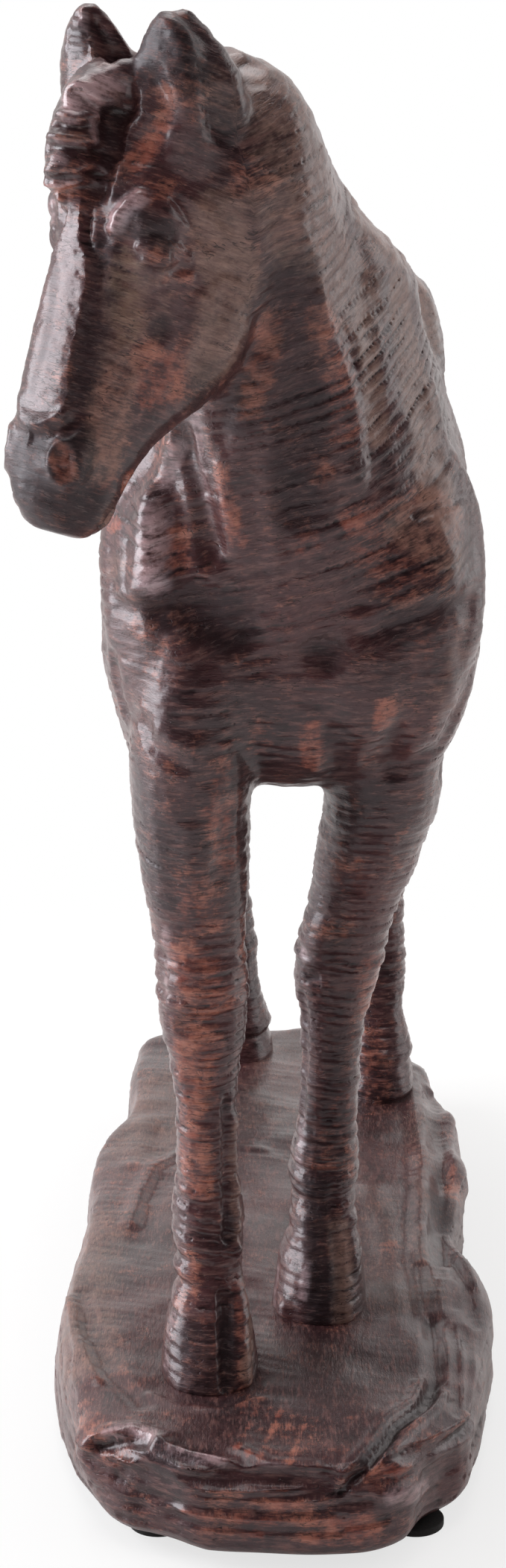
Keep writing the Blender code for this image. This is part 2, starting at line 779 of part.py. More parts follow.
def main():
    for old in list(bpy.data.objects):
        bpy.data.objects.remove(old)

    castings = cast_figure()
    base, seats = cast_base()
    wires, wire_bores = bend_wires()
    dowel, dowel_bore = turn_dowel()
    pin, pin_bore = cut_tail_pin()
    pads = cut_pads()

    cut_by(base, seats + list(wire_bores.values()))
    cut_by(castings["torso"], list(wire_bores.values()) + [dowel_bore, pin_bore])
    cut_by(castings["neck"], [dowel_bore])
    cut_by(castings["tail"], [pin_bore])
    for name, wire_bore in wire_bores.items():
        cut_by(castings[name], [wire_bore])

    resin = material("varnished_resin", (0.052, 0.030, 0.026), 0.34)
    steel = material("steel_wire", (0.45, 0.45, 0.46), 0.35, 1.0)
    wood = material("beech_dowel", (0.52, 0.36, 0.21), 0.6)
    foam = material("foam_pad", (0.012, 0.012, 0.012), 0.85)
    figure = [base, *castings.values()]
    metal = [*wires.values(), pin]
    for pieces, finish in ((figure, resin), (metal, steel), ([dowel], wood), (pads, foam)):
        for piece in pieces:
            piece.data.materials.append(finish)

    # The origin goes to the middle of the footprint, at the pads' underside.
    low, high = box_of(vert for piece in figure + pads for vert in piece.data.vertices)
    stand = bpy.data.objects.new("horse_statue", None)
    bpy.context.scene.collection.objects.link(stand)
    stand.location = (-(low.x + high.x) / 2, -(low.y + high.y) / 2, -low.z)
    for piece in list(bpy.data.objects):
        if piece != stand:
            stand_on(stand, piece)
    print("size", [round(side / MM, 1) for side in high - low], "origin", [round(v / MM, 2) for v in stand.location])


main()
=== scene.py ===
# %% [markdown]
# # A horse statue cast in resin
#
# The object is a standing horse on a rock base, about 30 cm high. Such a figure is carved in clay or wood,
# moulded in rubber, cast in resin in a few parts, filled at the seams, painted dark, dry-brushed with
# terracotta and grey, and varnished. The scene follows that order: a smooth figure first, then the large
# forms of the carving, then the ribs that the knife leaves, then the paint.

# %% Load the cast parts
import math
import bmesh
import bpy
import numpy as np
from mathutils import Matrix, Vector
from mathutils.bvhtree import BVHTree


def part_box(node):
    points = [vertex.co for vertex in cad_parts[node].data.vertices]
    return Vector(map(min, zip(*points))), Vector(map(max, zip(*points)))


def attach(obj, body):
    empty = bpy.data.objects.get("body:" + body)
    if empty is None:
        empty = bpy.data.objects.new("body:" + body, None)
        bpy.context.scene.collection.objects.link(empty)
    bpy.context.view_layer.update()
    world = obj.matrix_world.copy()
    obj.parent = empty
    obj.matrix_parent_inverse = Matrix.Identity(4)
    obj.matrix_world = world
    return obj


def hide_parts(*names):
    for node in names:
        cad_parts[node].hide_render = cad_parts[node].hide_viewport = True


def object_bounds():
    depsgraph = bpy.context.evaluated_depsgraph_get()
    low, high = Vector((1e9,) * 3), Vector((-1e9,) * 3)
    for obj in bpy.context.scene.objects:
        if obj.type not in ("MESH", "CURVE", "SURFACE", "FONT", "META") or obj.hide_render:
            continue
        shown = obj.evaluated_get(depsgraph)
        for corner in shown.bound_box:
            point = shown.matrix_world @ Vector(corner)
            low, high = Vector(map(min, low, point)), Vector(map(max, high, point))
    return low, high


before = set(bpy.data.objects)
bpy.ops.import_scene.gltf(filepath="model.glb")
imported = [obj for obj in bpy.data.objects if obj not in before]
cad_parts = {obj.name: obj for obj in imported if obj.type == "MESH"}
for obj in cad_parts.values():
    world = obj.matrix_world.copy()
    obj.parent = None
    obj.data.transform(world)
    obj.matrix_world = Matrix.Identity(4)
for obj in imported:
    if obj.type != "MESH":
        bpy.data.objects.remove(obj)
cad_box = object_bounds()
MM = 0.001
print("cast parts:", len(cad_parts))

# %% [markdown]
# The camera comes first, because most features of the carving are placed by where they are seen. A real
# photograph was taken from about 65 cm away, a little above the horse. A ray from that camera through a
# point of the picture meets the smooth casting where the feature belongs.

# %% Camera
PICTURE = (679, 2104)  # width and height of the picture in points
FOCAL = 3823           # focal length in the same points
PITCH = math.radians(13.98)
EYE_POINT = Vector((-4.14, -647.94, 285.0)) * MM
lens = bpy.data.cameras.new("studio_camera")
lens.lens = lens.sensor_width * FOCAL / PICTURE[1]
lens.clip_start = 0.01
camera = bpy.data.objects.new("studio_camera", lens)
camera.location = EYE_POINT
camera.rotation_euler = (math.radians(90) - PITCH, 0, 0)
bpy.context.collection.objects.link(camera)
bpy.context.scene.camera = camera
bpy.context.scene.view_settings.view_transform = "Standard"
print("lens", round(lens.lens, 1), "mm")

# %% Smooth castings that a ray can meet
FIGURE = ("neck_and_head_casting", "torso_casting", "tail_casting", "fore_leg_left_casting",
          "fore_leg_right_casting", "hind_leg_left_casting", "hind_leg_right_casting")


def copied(names, grown=0.0):
    shape = bmesh.new()
    for name in names:
        part = bmesh.new()
        part.from_mesh(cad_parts[name].data)
        bmesh.ops.remove_doubles(part, verts=part.verts, dist=1e-6)
        part.normal_update()
        for vert in part.verts:
            vert.co += vert.normal * grown
        mesh = bpy.data.meshes.new("copy")
        part.to_mesh(mesh)
        shape.from_mesh(mesh)
        bpy.data.meshes.remove(mesh)
        part.free()
    return shape


surface = BVHTree.FromBMesh(copied(FIGURE))
rock_surface = BVHTree.FromBMesh(copied(["base_casting"]))
print("castings of the figure:", len(FIGURE))


# %% Find a point of the casting from its place in the picture
def ray_through(u, v):
    away, above = Vector((0, 1, 0)), Vector((0, 0, 1))
    forward = away * math.cos(PITCH) - above * math.sin(PITCH)
    upward = away * math.sin(PITCH) + above * math.cos(PITCH)
    across = Vector((u - PICTURE[0] / 2, 0, 0))
    return (forward * FOCAL + across + upward * (PICTURE[1] / 2 - v)).normalized()


def traced(spots, tree=surface):
    # spots holds places of the picture one after another: across, down, across, down
    hits = [tree.ray_cast(EYE_POINT, ray_through(u, v))[0] for u, v in zip(spots[::2], spots[1::2])]
    return [tuple(hit / MM) for hit in hits if hit is not None]


print("near eye at", [round(value, 1) for value in traced((230, 335))[0]], "mm")

# %% [markdown]
# Every later step moves points, so the whole figure is made one skin first. Voxel remeshing does that: the
# parts are swelled until they overlap, and the remesh covers their union with small even squares. Booleans
# would join them too, but they leave uneven faces that no fine carving can follow. Small balls add what the
# casting lacks, the lobe of the near ear and the tuft between the ears, and melt into the same skin.

# %% Swell the parts and add the soft masses
GROWN = 0.25  # mm that each part swells, so that neighbours overlap
# place in the picture, distance along the horse and radius in mm
EAR_LOBE = ((246, 30, -128.0, 3.0), (264, 52, -127.2, 3.6), (280, 82, -126.8, 4.4), (292, 112, -126.4, 5.0),
            (300, 142, -125.6, 5.0), (304, 168, -124.4, 4.2))
TUFT = ((152, 104, -126.0, 2.8), (166, 98, -125.5, 3.0), (178, 96, -125.0, 2.6), (134, 122, -125.0, 5.0),
        (150, 138, -122.5, 5.0), (146, 168, -121.5, 5.0), (142, 205, -121.5, 5.0), (112, 132, -126.0, 4.4))


def object_from(shape, name):
    mesh = bpy.data.meshes.new(name)
    shape.to_mesh(mesh)
    shape.free()
    made = bpy.data.objects.new(name, mesh)
    bpy.context.collection.objects.link(made)
    return made


figure = copied(FIGURE, GROWN * MM)
for u, v, y, radius in EAR_LOBE + TUFT:
    start, through = EYE_POINT / MM, ray_through(u, v)
    centre = start + through * ((y - start.y) / through.y)
    ball = Matrix.LocRotScale(centre * MM, None, Vector((1, 1, 1)) * radius * MM)
    bmesh.ops.create_icosphere(figure, subdivisions=3, radius=1, matrix=ball)
print("swelled parts:", len(figure.verts), "points")


# %% Even skin, and smoothing
def baked(made):
    applied = bpy.data.meshes.new_from_object(made.evaluated_get(bpy.context.evaluated_depsgraph_get()))
    made.modifiers.clear()
    old, made.data = made.data, applied
    bpy.data.meshes.remove(old)
    return made


def remeshed(made, voxel):
    skin = made.modifiers.new("even skin", "REMESH")
    skin.mode = "VOXEL"
    skin.voxel_size = voxel * MM
    return baked(made)


def smoothed(made, rounds):
    relax = made.modifiers.new("relaxed", "SMOOTH")
    relax.factor = 0.5
    relax.iterations = rounds
    return baked(made)


clay = remeshed(object_from(figure, "clay"), voxel=0.9)
print("even skin:", len(clay.data.vertices), "points")

# %% Keep one closed shell
SMALLEST_PIECE = 200  # points; smaller shells are crumbs of the remesh


def islands(shape):
    found, pieces = set(), []
    for seed in shape.verts:
        if seed in found:
            continue
        island, fringe = [], [seed]
        found.add(seed)
        while fringe:
            vert = fringe.pop()
            island.append(vert)
            for edge in vert.link_edges:
                other = edge.other_vert(vert)
                if other not in found:
                    found.add(other)
                    fringe.append(other)
        pieces.append(island)
    return pieces


def only(made, inside=None):
    # the largest shell, or the one whose middle is nearest to that of a box
    shape = bmesh.new()
    shape.from_mesh(made.data)
    pieces = islands(shape)
    if inside is None:
        best = max(pieces, key=len)
    else:
        low, high = (Vector(corner) for corner in inside)
        middle = (low + high) / 2
        large = [piece for piece in pieces if len(piece) > SMALLEST_PIECE]
        centres = [sum((vert.co for vert in piece), Vector()) / len(piece) for piece in large]
        best = min(zip(large, centres), key=lambda pair: (pair[1] - middle).length)[0]
    keep = set(best)
    bmesh.ops.delete(shape, geom=[vert for vert in shape.verts if vert not in keep], context="VERTS")
    shape.to_mesh(made.data)
    shape.free()
    return made


smoothed(only(clay), rounds=3)
print("one shell:", len(clay.data.vertices), "points")


# %% Points of a piece as numbers in millimetres
def read(made, kind):
    flat = np.empty(len(made.data.vertices) * 3, np.float32)
    made.data.vertices.foreach_get(kind, flat)
    return flat.reshape(-1, 3).astype(float)


def points(made):
    return read(made, "co") / MM


def moved(made, where):
    # puts the points back and gives the way that the skin faces there
    made.data.vertices.foreach_set("co", (where * MM).astype(np.float32).ravel())
    made.data.update()
    return read(made, "normal")


moved(clay, points(clay) - read(clay, "normal") * GROWN)
print("clay figure is", round(float(np.ptp(points(clay)[:, 2]))), "mm high")

# %% [markdown]
# The carving is done like a sculptor's strokes. Each stroke is a line over the surface: points near it rise
# or sink along their own direction, most at the line and less towards the stroke's edge. A lip rises on one
# side of the line and is cut away on the other, which gives the hard edge that a gouge leaves. Sculpting by
# hand would do the same, but it can't be written down, and a displacement map would need an image.

# %% Strokes of the knife
CORE = 1.2        # mm around the line that say which way the stroke faces
LIP_EDGE = 5.0    # how sharply a lip changes from raised to cut
TURN_LIMIT = 2.5  # how soon skin that turns away from the stroke is left alone


def reach(where, line, width):
    line = np.array([tuple(point) for point in line], float).reshape(-1, 3)
    if not len(line):
        return [], [], []
    near = np.nonzero(np.all((where > line.min(0) - width) & (where < line.max(0) + width), axis=1))[0]
    chosen = where[near]
    far, arrow = np.full(len(near), 1e9), np.zeros((len(near), 3))
    ends = line[1:] if len(line) > 1 else line + 1e-3
    for start, end in zip(line, ends):
        run = end - start
        share = np.clip((chosen - start) @ run / (run @ run), 0, 1)
        offset = chosen - start - share[:, None] * run
        distance = np.linalg.norm(offset, axis=1)
        closer = distance < far
        far[closer], arrow[closer] = distance[closer], offset[closer]
    return near, far, arrow


def carve(where, facing, line, width, depth, lip=None, field=None, turned=None):
    space = where if field is None else field
    near, far, arrow = reach(space, line, width)
    if not len(near):
        return
    out = (facing if turned is None else turned)[near]
    shape = np.clip(1 - (far / width) ** 2, 0, 1) ** 2
    core = out[far < max(CORE, far.min() + 0.3)].mean(0)
    shape *= np.clip(out @ core / np.linalg.norm(core) * TURN_LIMIT, 0, 1)
    if lip is not None:
        shape *= np.tanh(-(arrow @ np.array(lip)) / width * LIP_EDGE)
    where[near] += facing[near] * (shape * depth)[:, None]


def carve_all(where, facing, strokes, tree=surface, lip=None):
    # a stroke is its half width and its height in mm, then its places in the picture
    for width, depth, *spots in strokes:
        carve(where, facing, traced(spots, tree), width, depth, lip)


print("the core of a stroke is", 2 * CORE, "mm wide")

# %% [markdown]
# The head is the same on both sides, so its strokes are given once, in a space that hangs from the poll:
# down the face, out of the forehead, and sideways from the middle of the head. Folding the sideways number
# to plus makes one stroke work on both cheeks.

# %% The head's own directions
POLL = np.array((-17.0, -114.9, 283.0))
TURN, NOD, LEAN = math.radians(46), math.radians(17), math.radians(-5)
out_of_face = Vector((-math.sin(TURN) * math.cos(NOD), -math.cos(TURN) * math.cos(NOD), math.sin(NOD)))
down_face = Vector((-math.sin(TURN) * math.sin(NOD), -math.cos(TURN) * math.sin(NOD), -math.cos(NOD)))
side_face = Vector((math.cos(TURN), -math.sin(TURN), 0))
lean = Matrix.Rotation(LEAN, 3, out_of_face)
HEAD = np.array([tuple(lean @ down_face), tuple(out_of_face), tuple(lean @ side_face)])


def in_head(where, folded=True):
    place = (where - POLL) @ HEAD.T
    if folded:
        place[:, 2] = np.abs(place[:, 2])
    return place


def turned_in_head(where, facing):
    out = facing @ HEAD.T
    out[:, 2] *= np.where(((where - POLL) @ HEAD.T)[:, 2] < 0, -1, 1)
    return out


def head_line(spots):
    return [tuple(point) for point in in_head(np.array(traced(spots)))]


print("face looks along", [round(float(value), 2) for value in HEAD[1]])

# %% [markdown]
# A flat strip with hard edges runs down the nose, and a valley beside it parts it from the cheek. Its edge
# is seen in the picture. Points inside the edge are pressed to one level, and points just beyond it sink, so
# the strip catches the light as one sheet.

# %% The strip down the nose
STRIP = (114, 258, 110, 295, 111, 325, 120, 348, 118, 388, 110, 427, 102, 462, 97, 496, 95, 527, 90, 552)
PRESSED = 0.35    # share of the roundness that stays on the strip
FAR_WIDER = 2.5   # mm that the strip is wider on its far side
VALLEY = 5.0      # mm that the valley is wide
NEAR_DEPTH, FAR_DEPTH = 1.5, 0.7  # mm that the valley sinks on the near and on the far side
strip_edge = np.array(head_line(STRIP))
strip_edge = strip_edge[np.argsort(strip_edge[:, 0])]


def plane_nose(where, facing):
    place = in_head(where, False)
    along, out, side = place[:, 0], place[:, 1], np.abs(place[:, 2])
    far_side = place[:, 2] < 0
    edge = np.interp(along, strip_edge[:, 0], strip_edge[:, 2]) + FAR_WIDER * far_side
    level = np.interp(along, strip_edge[:, 0], strip_edge[:, 1])
    first, last = strip_edge[0, 0], strip_edge[-1, 0]
    length = np.clip((along - first + 3) / 4, 0, 1) * np.clip((last + 4 - along) / 3, 0, 1)
    top = np.clip((out - level + 3) / 2, 0, 1) * length
    flat = (level + PRESSED * (out - level) + 0.25 - out) * np.clip((edge - side) / 0.9 + 0.5, 0, 1) * top
    valley = np.clip((side - edge) / 0.8 + 0.5, 0, 1) * np.clip(1 - (side - edge) / VALLEY, 0, 1) ** 1.5
    beyond = np.clip((out - level + 9) / 6, 0, 1) * length
    where += ((flat - np.where(far_side, FAR_DEPTH, NEAR_DEPTH) * valley * beyond)[:, None]) * HEAD[1]


print("strip is", round(2 * float(strip_edge[:, 2].mean()), 1), "mm wide")

# %% [markdown]
# The face has an eye under a strong brow, a nostril that is a deep oval with a rim, and thin cracks across
# the strip. All are strokes, wide and shallow for bone, narrow for lids and cracks. The far side is in the
# shade and turned away, so its strokes are made a little shallower.

# %% Face
FACE = (
    (4.2, -0.6, 140,340, 138,400, 126,462, 114,520, 106,552), (2.8, 1.3, 154,304, 165,285, 184,266),
    (3.4, 0.35, 196,250, 216,252), (3, -0.8, 132,262, 136,290, 138,318),
    (5.2, -0.7, 184,296, 204,300, 222,312), (3, 0.7, 206,336, 220,340),
    (1.2, 0.7, 186,330, 204,321, 224,325, 254,343), (1.5, -0.5, 196,320, 214,314, 234,322),
    (1, 0.3, 194,350, 210,356, 228,355, 254,345), (1.8, -0.35, 198,364, 222,366, 248,360),
    (1.4, 0.4, 224,373, 240,373, 256,372), (2.2, -0.35, 236,270, 262,300, 280,330),
    (2.2, 0.35, 250,262, 276,288, 300,320), (1.8, -0.3, 262,352, 290,362, 316,366),
    (2.4, 0.4, 270,400, 262,440, 250,470), (2.4, -0.35, 300,400, 290,440, 270,480),
    (2.4, 0.4, 150,330, 146,352, 142,380), (3.4, -0.5, 218,441),
    (6, 0.5, 150,400, 146,450, 150,500, 160,540), (9, 0.5, 286,300, 300,380, 290,450),
    (8, 0.5, 330,290, 341,365, 334,415, 312,460, 286,506, 252,536, 214,566),
    (2.6, -0.9, 20,582, 40,587, 66,584, 92,570), (2.4, 0.6, 24,566, 44,570, 66,568, 84,556),
    (7.5, 0.9, 85,622), (3.4, -2.2, 85,615, 85,628), (0.9, -0.3, 112,290, 80,284),
    (0.8, -0.3, 108,318, 78,310), (0.7, -0.25, 100,338, 76,332), (0.8, -0.3, 112,372, 76,360),
    (0.8, -0.3, 100,396, 70,386), (0.7, -0.3, 104,414, 80,404, 60,408), (0.8, -0.3, 98,446, 56,430),
    (0.7, -0.25, 92,470, 56,456), (0.8, -0.25, 78,500, 44,490), (0.7, -0.25, 90,530, 50,520),
    (1.8, 0.35, 72,606, 80,592, 94,596, 102,618, 97,642, 84,650, 72,638, 69,620, 72,606),
    (1.5, -1.5, 171,644, 162,668, 150,690, 138,706), (2.6, 0.7, 178,660, 166,684, 152,702),
    (4, -0.5, 134,640, 120,668, 104,690),
)
FAR_CHEEK = 0.55


def carve_face(where, facing):
    for width, depth, *spots in FACE:
        near_side = np.where(((where - POLL) @ HEAD[2]) < 0, FAR_CHEEK, 1.0)[:, None]
        carve(where, facing * near_side, head_line(spots), width, depth, field=in_head(where),
              turned=turned_in_head(where, facing))


print(len(FACE), "strokes for the face")

# %% [markdown]
# The forelock is a stack of five overhanging steps, like folded cloth. Each step is a lip across the
# forehead. The ears are cupped: one deep stroke for the hollow and a narrow raised one for the rim.

# %% Forelock in steps, and the ears
FORELOCK = ((110, 122, 134, 139, 160, 145), (82, 161, 106, 166, 128, 161), (70, 190, 95, 191, 124, 195),
            (66, 235, 80, 232, 102, 232, 126, 227), (64, 251, 86, 250, 110, 246))
BESIDE_FORELOCK = ((3.6, -1.5, 166, 146, 150, 160, 142, 190, 138, 226, 130, 250),)
EARS = (
    (6.5, -0.8, 208,50, 210,80, 214,112, 222,150), (4.4, -1.2, 200,112, 218,150, 206,186, 186,206),
    (3.4, -1.2, 150,170, 152,200), (5.4, -1.2, 270,100, 284,130, 290,165),
    (3, 0.5, 228,26, 244,46, 254,78, 260,116), (3, 0.7, 286,74, 290,78, 302,92, 314,132, 312,176),
    (3.8, -2.3, 128,30, 142,56, 156,86), (1.7, 0.9, 114,14, 122,44, 128,70, 140,92),
    (1.6, 0.6, 140,22, 158,48, 170,68), (1.2, -0.6, 92,44, 114,46), (1.2, -0.6, 90,62, 116,66),
    (1.2, -0.5, 100,20, 118,24), (2.4, 0.9, 152,100), (2.4, 0.9, 166,93), (2, 0.9, 178,90),
)


def carve_ears(where, facing):
    for spots in FORELOCK:
        carve(where, facing, traced(spots), width=3.0, depth=1.35, lip=HEAD[0])
    carve_all(where, facing, BESIDE_FORELOCK + EARS)


print(len(FORELOCK), "steps in the forelock,", len(EARS), "strokes for the ears")

# %% [markdown]
# The neck is carved in long flutes that run down to the points of the shoulders, with the windpipe between
# them. The two shoulder points stand out as lumps whose lower edge is undercut, so a black shadow lies
# beneath. All of it is strokes, only wider than those of the face.

# %% Neck and chest
NECK = (
    (5, 1.3, 304,68, 316,74), (12, 2.2, 508,354, 536,364, 562,402),
    (5, -1.6, 374,290, 380,370, 374,425, 352,470), (4.6, 1.1, 238,575, 222,612, 210,652, 205,690),
    (3.6, -1.3, 246,580, 254,620, 266,660, 276,700, 284,740), (3, 0.5, 276,560, 290,610, 300,660, 310,700),
    (4.6, 0.7, 366,450, 348,510, 328,570, 310,630, 310,680, 320,730),
    (6.5, -1.5, 396,390, 400,460, 402,540, 404,620, 404,680),
    (4.4, 1.2, 430,400, 446,460, 463,520, 474,580, 478,640), (4, -0.4, 494,440, 503,520, 510,580, 514,640),
)
SHOULDERS = (
    (7, 1.8, 206,680, 202,730, 202,776), (6.5, -2, 222,812, 256,820, 292,838, 314,846),
    (9, 1, 590,745, 560,770, 530,790), (6, -1.4, 436,872), (8, -0.5, 330,880),
    (4.4, -0.8, 449,985, 452,1036), (4, -0.6, 526,980, 528,1044), (4, -0.5, 280,985, 283,1046),
    (4.4, 0.5, 418,965, 420,1040), (3.4, -0.9, 190,975, 204,1000, 222,1013, 244,1024),
    (4.4, 0.6, 212,985, 232,1000, 256,1008), (3.8, -0.9, 636,905, 614,960, 592,1002, 556,1020, 528,1030),
    (6, 0.8, 600,930, 580,975, 546,1000), (3, -0.8, 150,880, 156,925, 166,960),
    (2, -0.6, 560,690, 600,676, 628,662),
)
LIPS = (
    (5.5, 1, 166,806, 200,806, 226,792, 262,776, 284,786),
    (6.5, 1, 630,796, 598,803, 563,812, 528,826, 498,842),
)
UNDER = np.array((0.0, 0.2, -0.98))  # the side of a lip that is cut away


def carve_front(where, facing):
    carve_all(where, facing, NECK + SHOULDERS)
    carve_all(where, facing, LIPS, lip=UNDER)


print(len(NECK) + len(SHOULDERS), "strokes for neck and chest")

# %% [markdown]
# The photograph shows the front only. The flanks follow the muscles that every horse has: the groove behind
# the shoulder, the edge of the ribs, the flank's hollow, the stifle and the hollow above the hock. Their
# strokes start from points beside the horse, and each drops straight onto its side.

# %% Flanks and rump
# half width, height, then distance along the horse and height above the table, again and again
SIDES = (
    (8, -1, -62,232, -50,205, -46,178, -52,156), (7, 1, -84,222, -78,198, -88,176),
    (5, -1.3, -66,176, -76,160, -74,146), (7, -1, -30,168, 0,162, 28,168, 46,180),
    (7, -1.8, 52,214, 56,192, 54,170, 48,158), (6, 1.2, 66,176, 62,160),
    (6, 0.9, 84,232, 100,214, 106,190, 100,168), (5, -1.1, 78,216, 86,190, 84,166),
    (4, -1, 112,200, 114,176, 108,152), (5, 1.1, 52,232, 60,236),
    (5, -0.6, -44,244, -20,238, 20,236, 48,240),
)
BODY_MIDDLE = 3.86
CLEAR_OF_BODY = 90


def beside(y, z, side):
    start = Vector((BODY_MIDDLE + side * CLEAR_OF_BODY, y, z)) * MM
    hit = surface.ray_cast(start, Vector((-side, 0, 0)))[0]
    return tuple(hit / MM) if hit else None


def carve_sides(where, facing):
    for width, depth, *places in SIDES:
        for side in (-1, 1):
            line = [beside(y, z, side) for y, z in zip(places[::2], places[1::2])]
            carve(where, facing, [point for point in line if point], width, depth)


print(len(SIDES), "strokes for each side")

# %% [markdown]
# The legs show knees, tendons and a split down each fore hoof as strokes. Where hoof and leg meet, a raised
# band with a groove under it runs around the leg. It lies at one height, so it is made from the height of
# each point rather than from a traced line.

# %% Legs and hooves
LEGS = (
    (9, 1, 268,1325), (4, -0.6, 212,1330, 216,1290), (3.4, -0.7, 300,1370, 250,1378),
    (2, -1.1, 306,1480, 306,1560, 307,1660), (2.4, 0.7, 316,1500, 318,1600, 318,1668), (3.2, 1.1, 318,1680),
    (4, -0.8, 300,1170, 306,1090), (5, 0.6, 262,1210, 258,1120), (2.2, -1.6, 303,1740, 302,1800, 304,1862),
    (3.6, 0.9, 324,1712, 328,1800, 332,1850), (8, 0.9, 428,1262), (3, -0.7, 452,1300, 416,1312),
    (2.4, -0.8, 404,1340, 406,1420, 402,1500), (3.6, 1.2, 380,1757),
    (2.2, -0.7, 446,1600, 452,1680, 452,1768), (3, 0.5, 474,1640, 478,1700), (3.4, 0.5, 412,1640, 416,1720),
)
GROUND = 23.0   # mm, the top of the rock under the hooves
HOOF_TOP = 24   # mm above the ground where the bands may end
BANDS = ((14.5, 1.1, 0.55), (11.8, 0.9, -0.5))  # height above the ground, half width, rise


def carve_legs(where, facing):
    carve_all(where, facing, LEGS)
    height = where[:, 2] - GROUND
    upright = np.clip(1 - facing[:, 2] ** 2 * 1.5, 0, 1)
    band = sum(np.exp(-((height - middle + 0.06 * where[:, 1]) / width) ** 2) * rise
               for middle, width, rise in BANDS)
    where += facing * (band * upright * (height < HOOF_TOP))[:, None]


print(len(LEGS), "strokes for the legs")

# %% [markdown]
# The whole skin is covered with fine ribs, as if the clay had been wrapped in thread. They circle the neck
# and the legs, run level over the chest and lengthwise over the back. A rib is a rounded band with a narrow
# groove on each side. Clouds of smooth random numbers make the bands wander, fade and break. A noise texture
# would do for paint, but the ribs stand up to a millimetre high, so they are moved points and not a bump.

# %% Clouds of random numbers
LATTICE_SIZE = 48
lattice = np.random.default_rng(11).random((LATTICE_SIZE,) * 3) * 2 - 1


def cloud(where, size, seed=0):
    # smooth random numbers between -1 and 1 that change over about size mm
    place = where / size + seed * 7.31 + 100
    whole = np.floor(place).astype(int)
    part = place - whole
    part = part * part * (3 - 2 * part)
    low, high = whole % LATTICE_SIZE, (whole + 1) % LATTICE_SIZE
    total = 0
    for corner in range(8):
        pick = [(high if corner >> axis & 1 else low)[:, axis] for axis in range(3)]
        share = [part[:, axis] if corner >> axis & 1 else 1 - part[:, axis] for axis in range(3)]
        total = total + lattice[pick[0], pick[1], pick[2]] * share[0] * share[1] * share[2]
    return total


def smoothstep(value, start, end):
    share = np.clip((value - start) / (end - start), 0, 1)
    return share * share * (3 - 2 * share)


print("lattice of", lattice.size, "numbers")

# %% One set of ribs
STEP_COUNT = 4096
WANDER, SHIVER = 22, 5  # mm over which the bands bend, and over which they tremble
PATCH, SPECK = 12, 5    # mm of skin over which the grooves fade in and out
steps = np.random.default_rng(5).random(STEP_COUNT)  # the height of each band


def ribs(where, phase, pitch, sharp, seed=0):
    turn = phase / pitch + 0.9 * cloud(where, WANDER, seed) + 0.14 * cloud(where, SHIVER, seed + 1)
    whole = np.floor(turn)
    part = turn - whole
    key = whole.astype(int) % STEP_COUNT
    own, following, before = steps[key], steps[(key + 1) % STEP_COUNT], steps[(key - 1) % STEP_COUNT]
    ledge = own + (following - own) * np.clip(part * 6 - 5, 0, 0.5)
    ledge += (before - own) * np.clip(1 - part * 6, 0, 0.5)
    groove = np.abs(2 * part - 1) ** sharp
    patchy = cloud(where, PATCH, seed + 2) + 0.7 * cloud(where * (1, 1, 2), SPECK, seed + 3)
    strength = np.clip(0.55 + 0.95 * patchy + 0.7 * (own - 0.5), 0.0, 1.3)
    return ledge - 0.5, groove * strength, 0.5 - part


print("mean step", round(float(steps.mean()), 2))

# %% Where each set of ribs lies
SEAM_NECK = ((3.86, -80.4, 223.0), (0, -0.826, 0.563))
NECK_AXIS = np.array((-0.25, -0.35, 0.9))
# region: direction of the phase, pitch in mm, sharpness, groove depth, band height and tilt in mm
RIBS = {"face": (HEAD[0] + 0.15 * HEAD[1], 2.3, 5, 0.24, 0.12, 0.05),
        "legs": ((0.05, -0.10, 1), 2.2, 5, 0.46, 0.66, 0.30),
        "neck": (NECK_AXIS, 2.6, 4, 0.50, 0.34, 0.16),
        "back": ((1, 0.1, 0.2), 2.4, 5, 0.26, 0.22, 0.10),
        "trunk": ((0.02, -0.08, 1), 2.6, 6, 0.32, 0.24, 0.10)}


def on_face(where):
    head = in_head(where)
    return smoothstep(head[:, 1] + 0.55 * head[:, 0], -2, 8)


def regions(where, facing):
    (_, seam_y, seam_z), (_, out_y, out_z) = SEAM_NECK
    y, z = where[:, 1], where[:, 2]
    past_neck_seam = (y - seam_y) * out_y + (z - seam_z) * out_z
    face = on_face(where) * smoothstep(past_neck_seam, 2, 10)
    legs = 1 - smoothstep(z, 132, 152)
    neck = smoothstep(past_neck_seam, -16, -4) * (1 - face)
    back = smoothstep(facing[:, 2], 0.1, 0.6) * (1 - neck) * (1 - face) * smoothstep(z, 175, 200)
    trunk = np.clip(1 - legs - neck - face - back, 0, 1)
    return {"face": face, "legs": legs, "neck": neck, "back": back, "trunk": trunk}


def rib_over(where, facing):
    lift, crown = np.zeros(len(where)), np.zeros(len(where))
    total = np.zeros(len(where)) + 1e-6
    for seed, (name, share) in enumerate(regions(where, facing).items()):
        if share.max() < 0.01:
            continue
        direction, pitch, sharp, depth, band_height, tilt = RIBS[name]
        phase = where @ np.array(direction, float)
        flat = 1 - (facing @ (np.array(direction, float) / np.linalg.norm(direction))) ** 2
        ledge, groove, slope = ribs(where, phase, pitch, sharp, 3 * seed)
        calm = np.sqrt(np.clip(flat, 0, 1)) * share
        if name == "legs":
            height = where[:, 2]
            calm *= 0.55 + 0.45 * smoothstep(height, 26, 48) * (1 - 0.7 * smoothstep(height, 100, 130))
        lift += (ledge * band_height - groove * depth + slope * tilt) * calm
        crown += (1 - groove) * share
        total += share
    return lift / total, crown / total


print("ribs for", ", ".join(RIBS))

# %% Dents and cuts of the knife, for all of it
DENTS = ((19, 21, 0.55), (8, 22, 0.32))  # size in mm, seed and height in mm
HEAD_STARTS = 198                        # mm above the table
FACE_CALM = 0.75                         # share of the dents that the face goes without


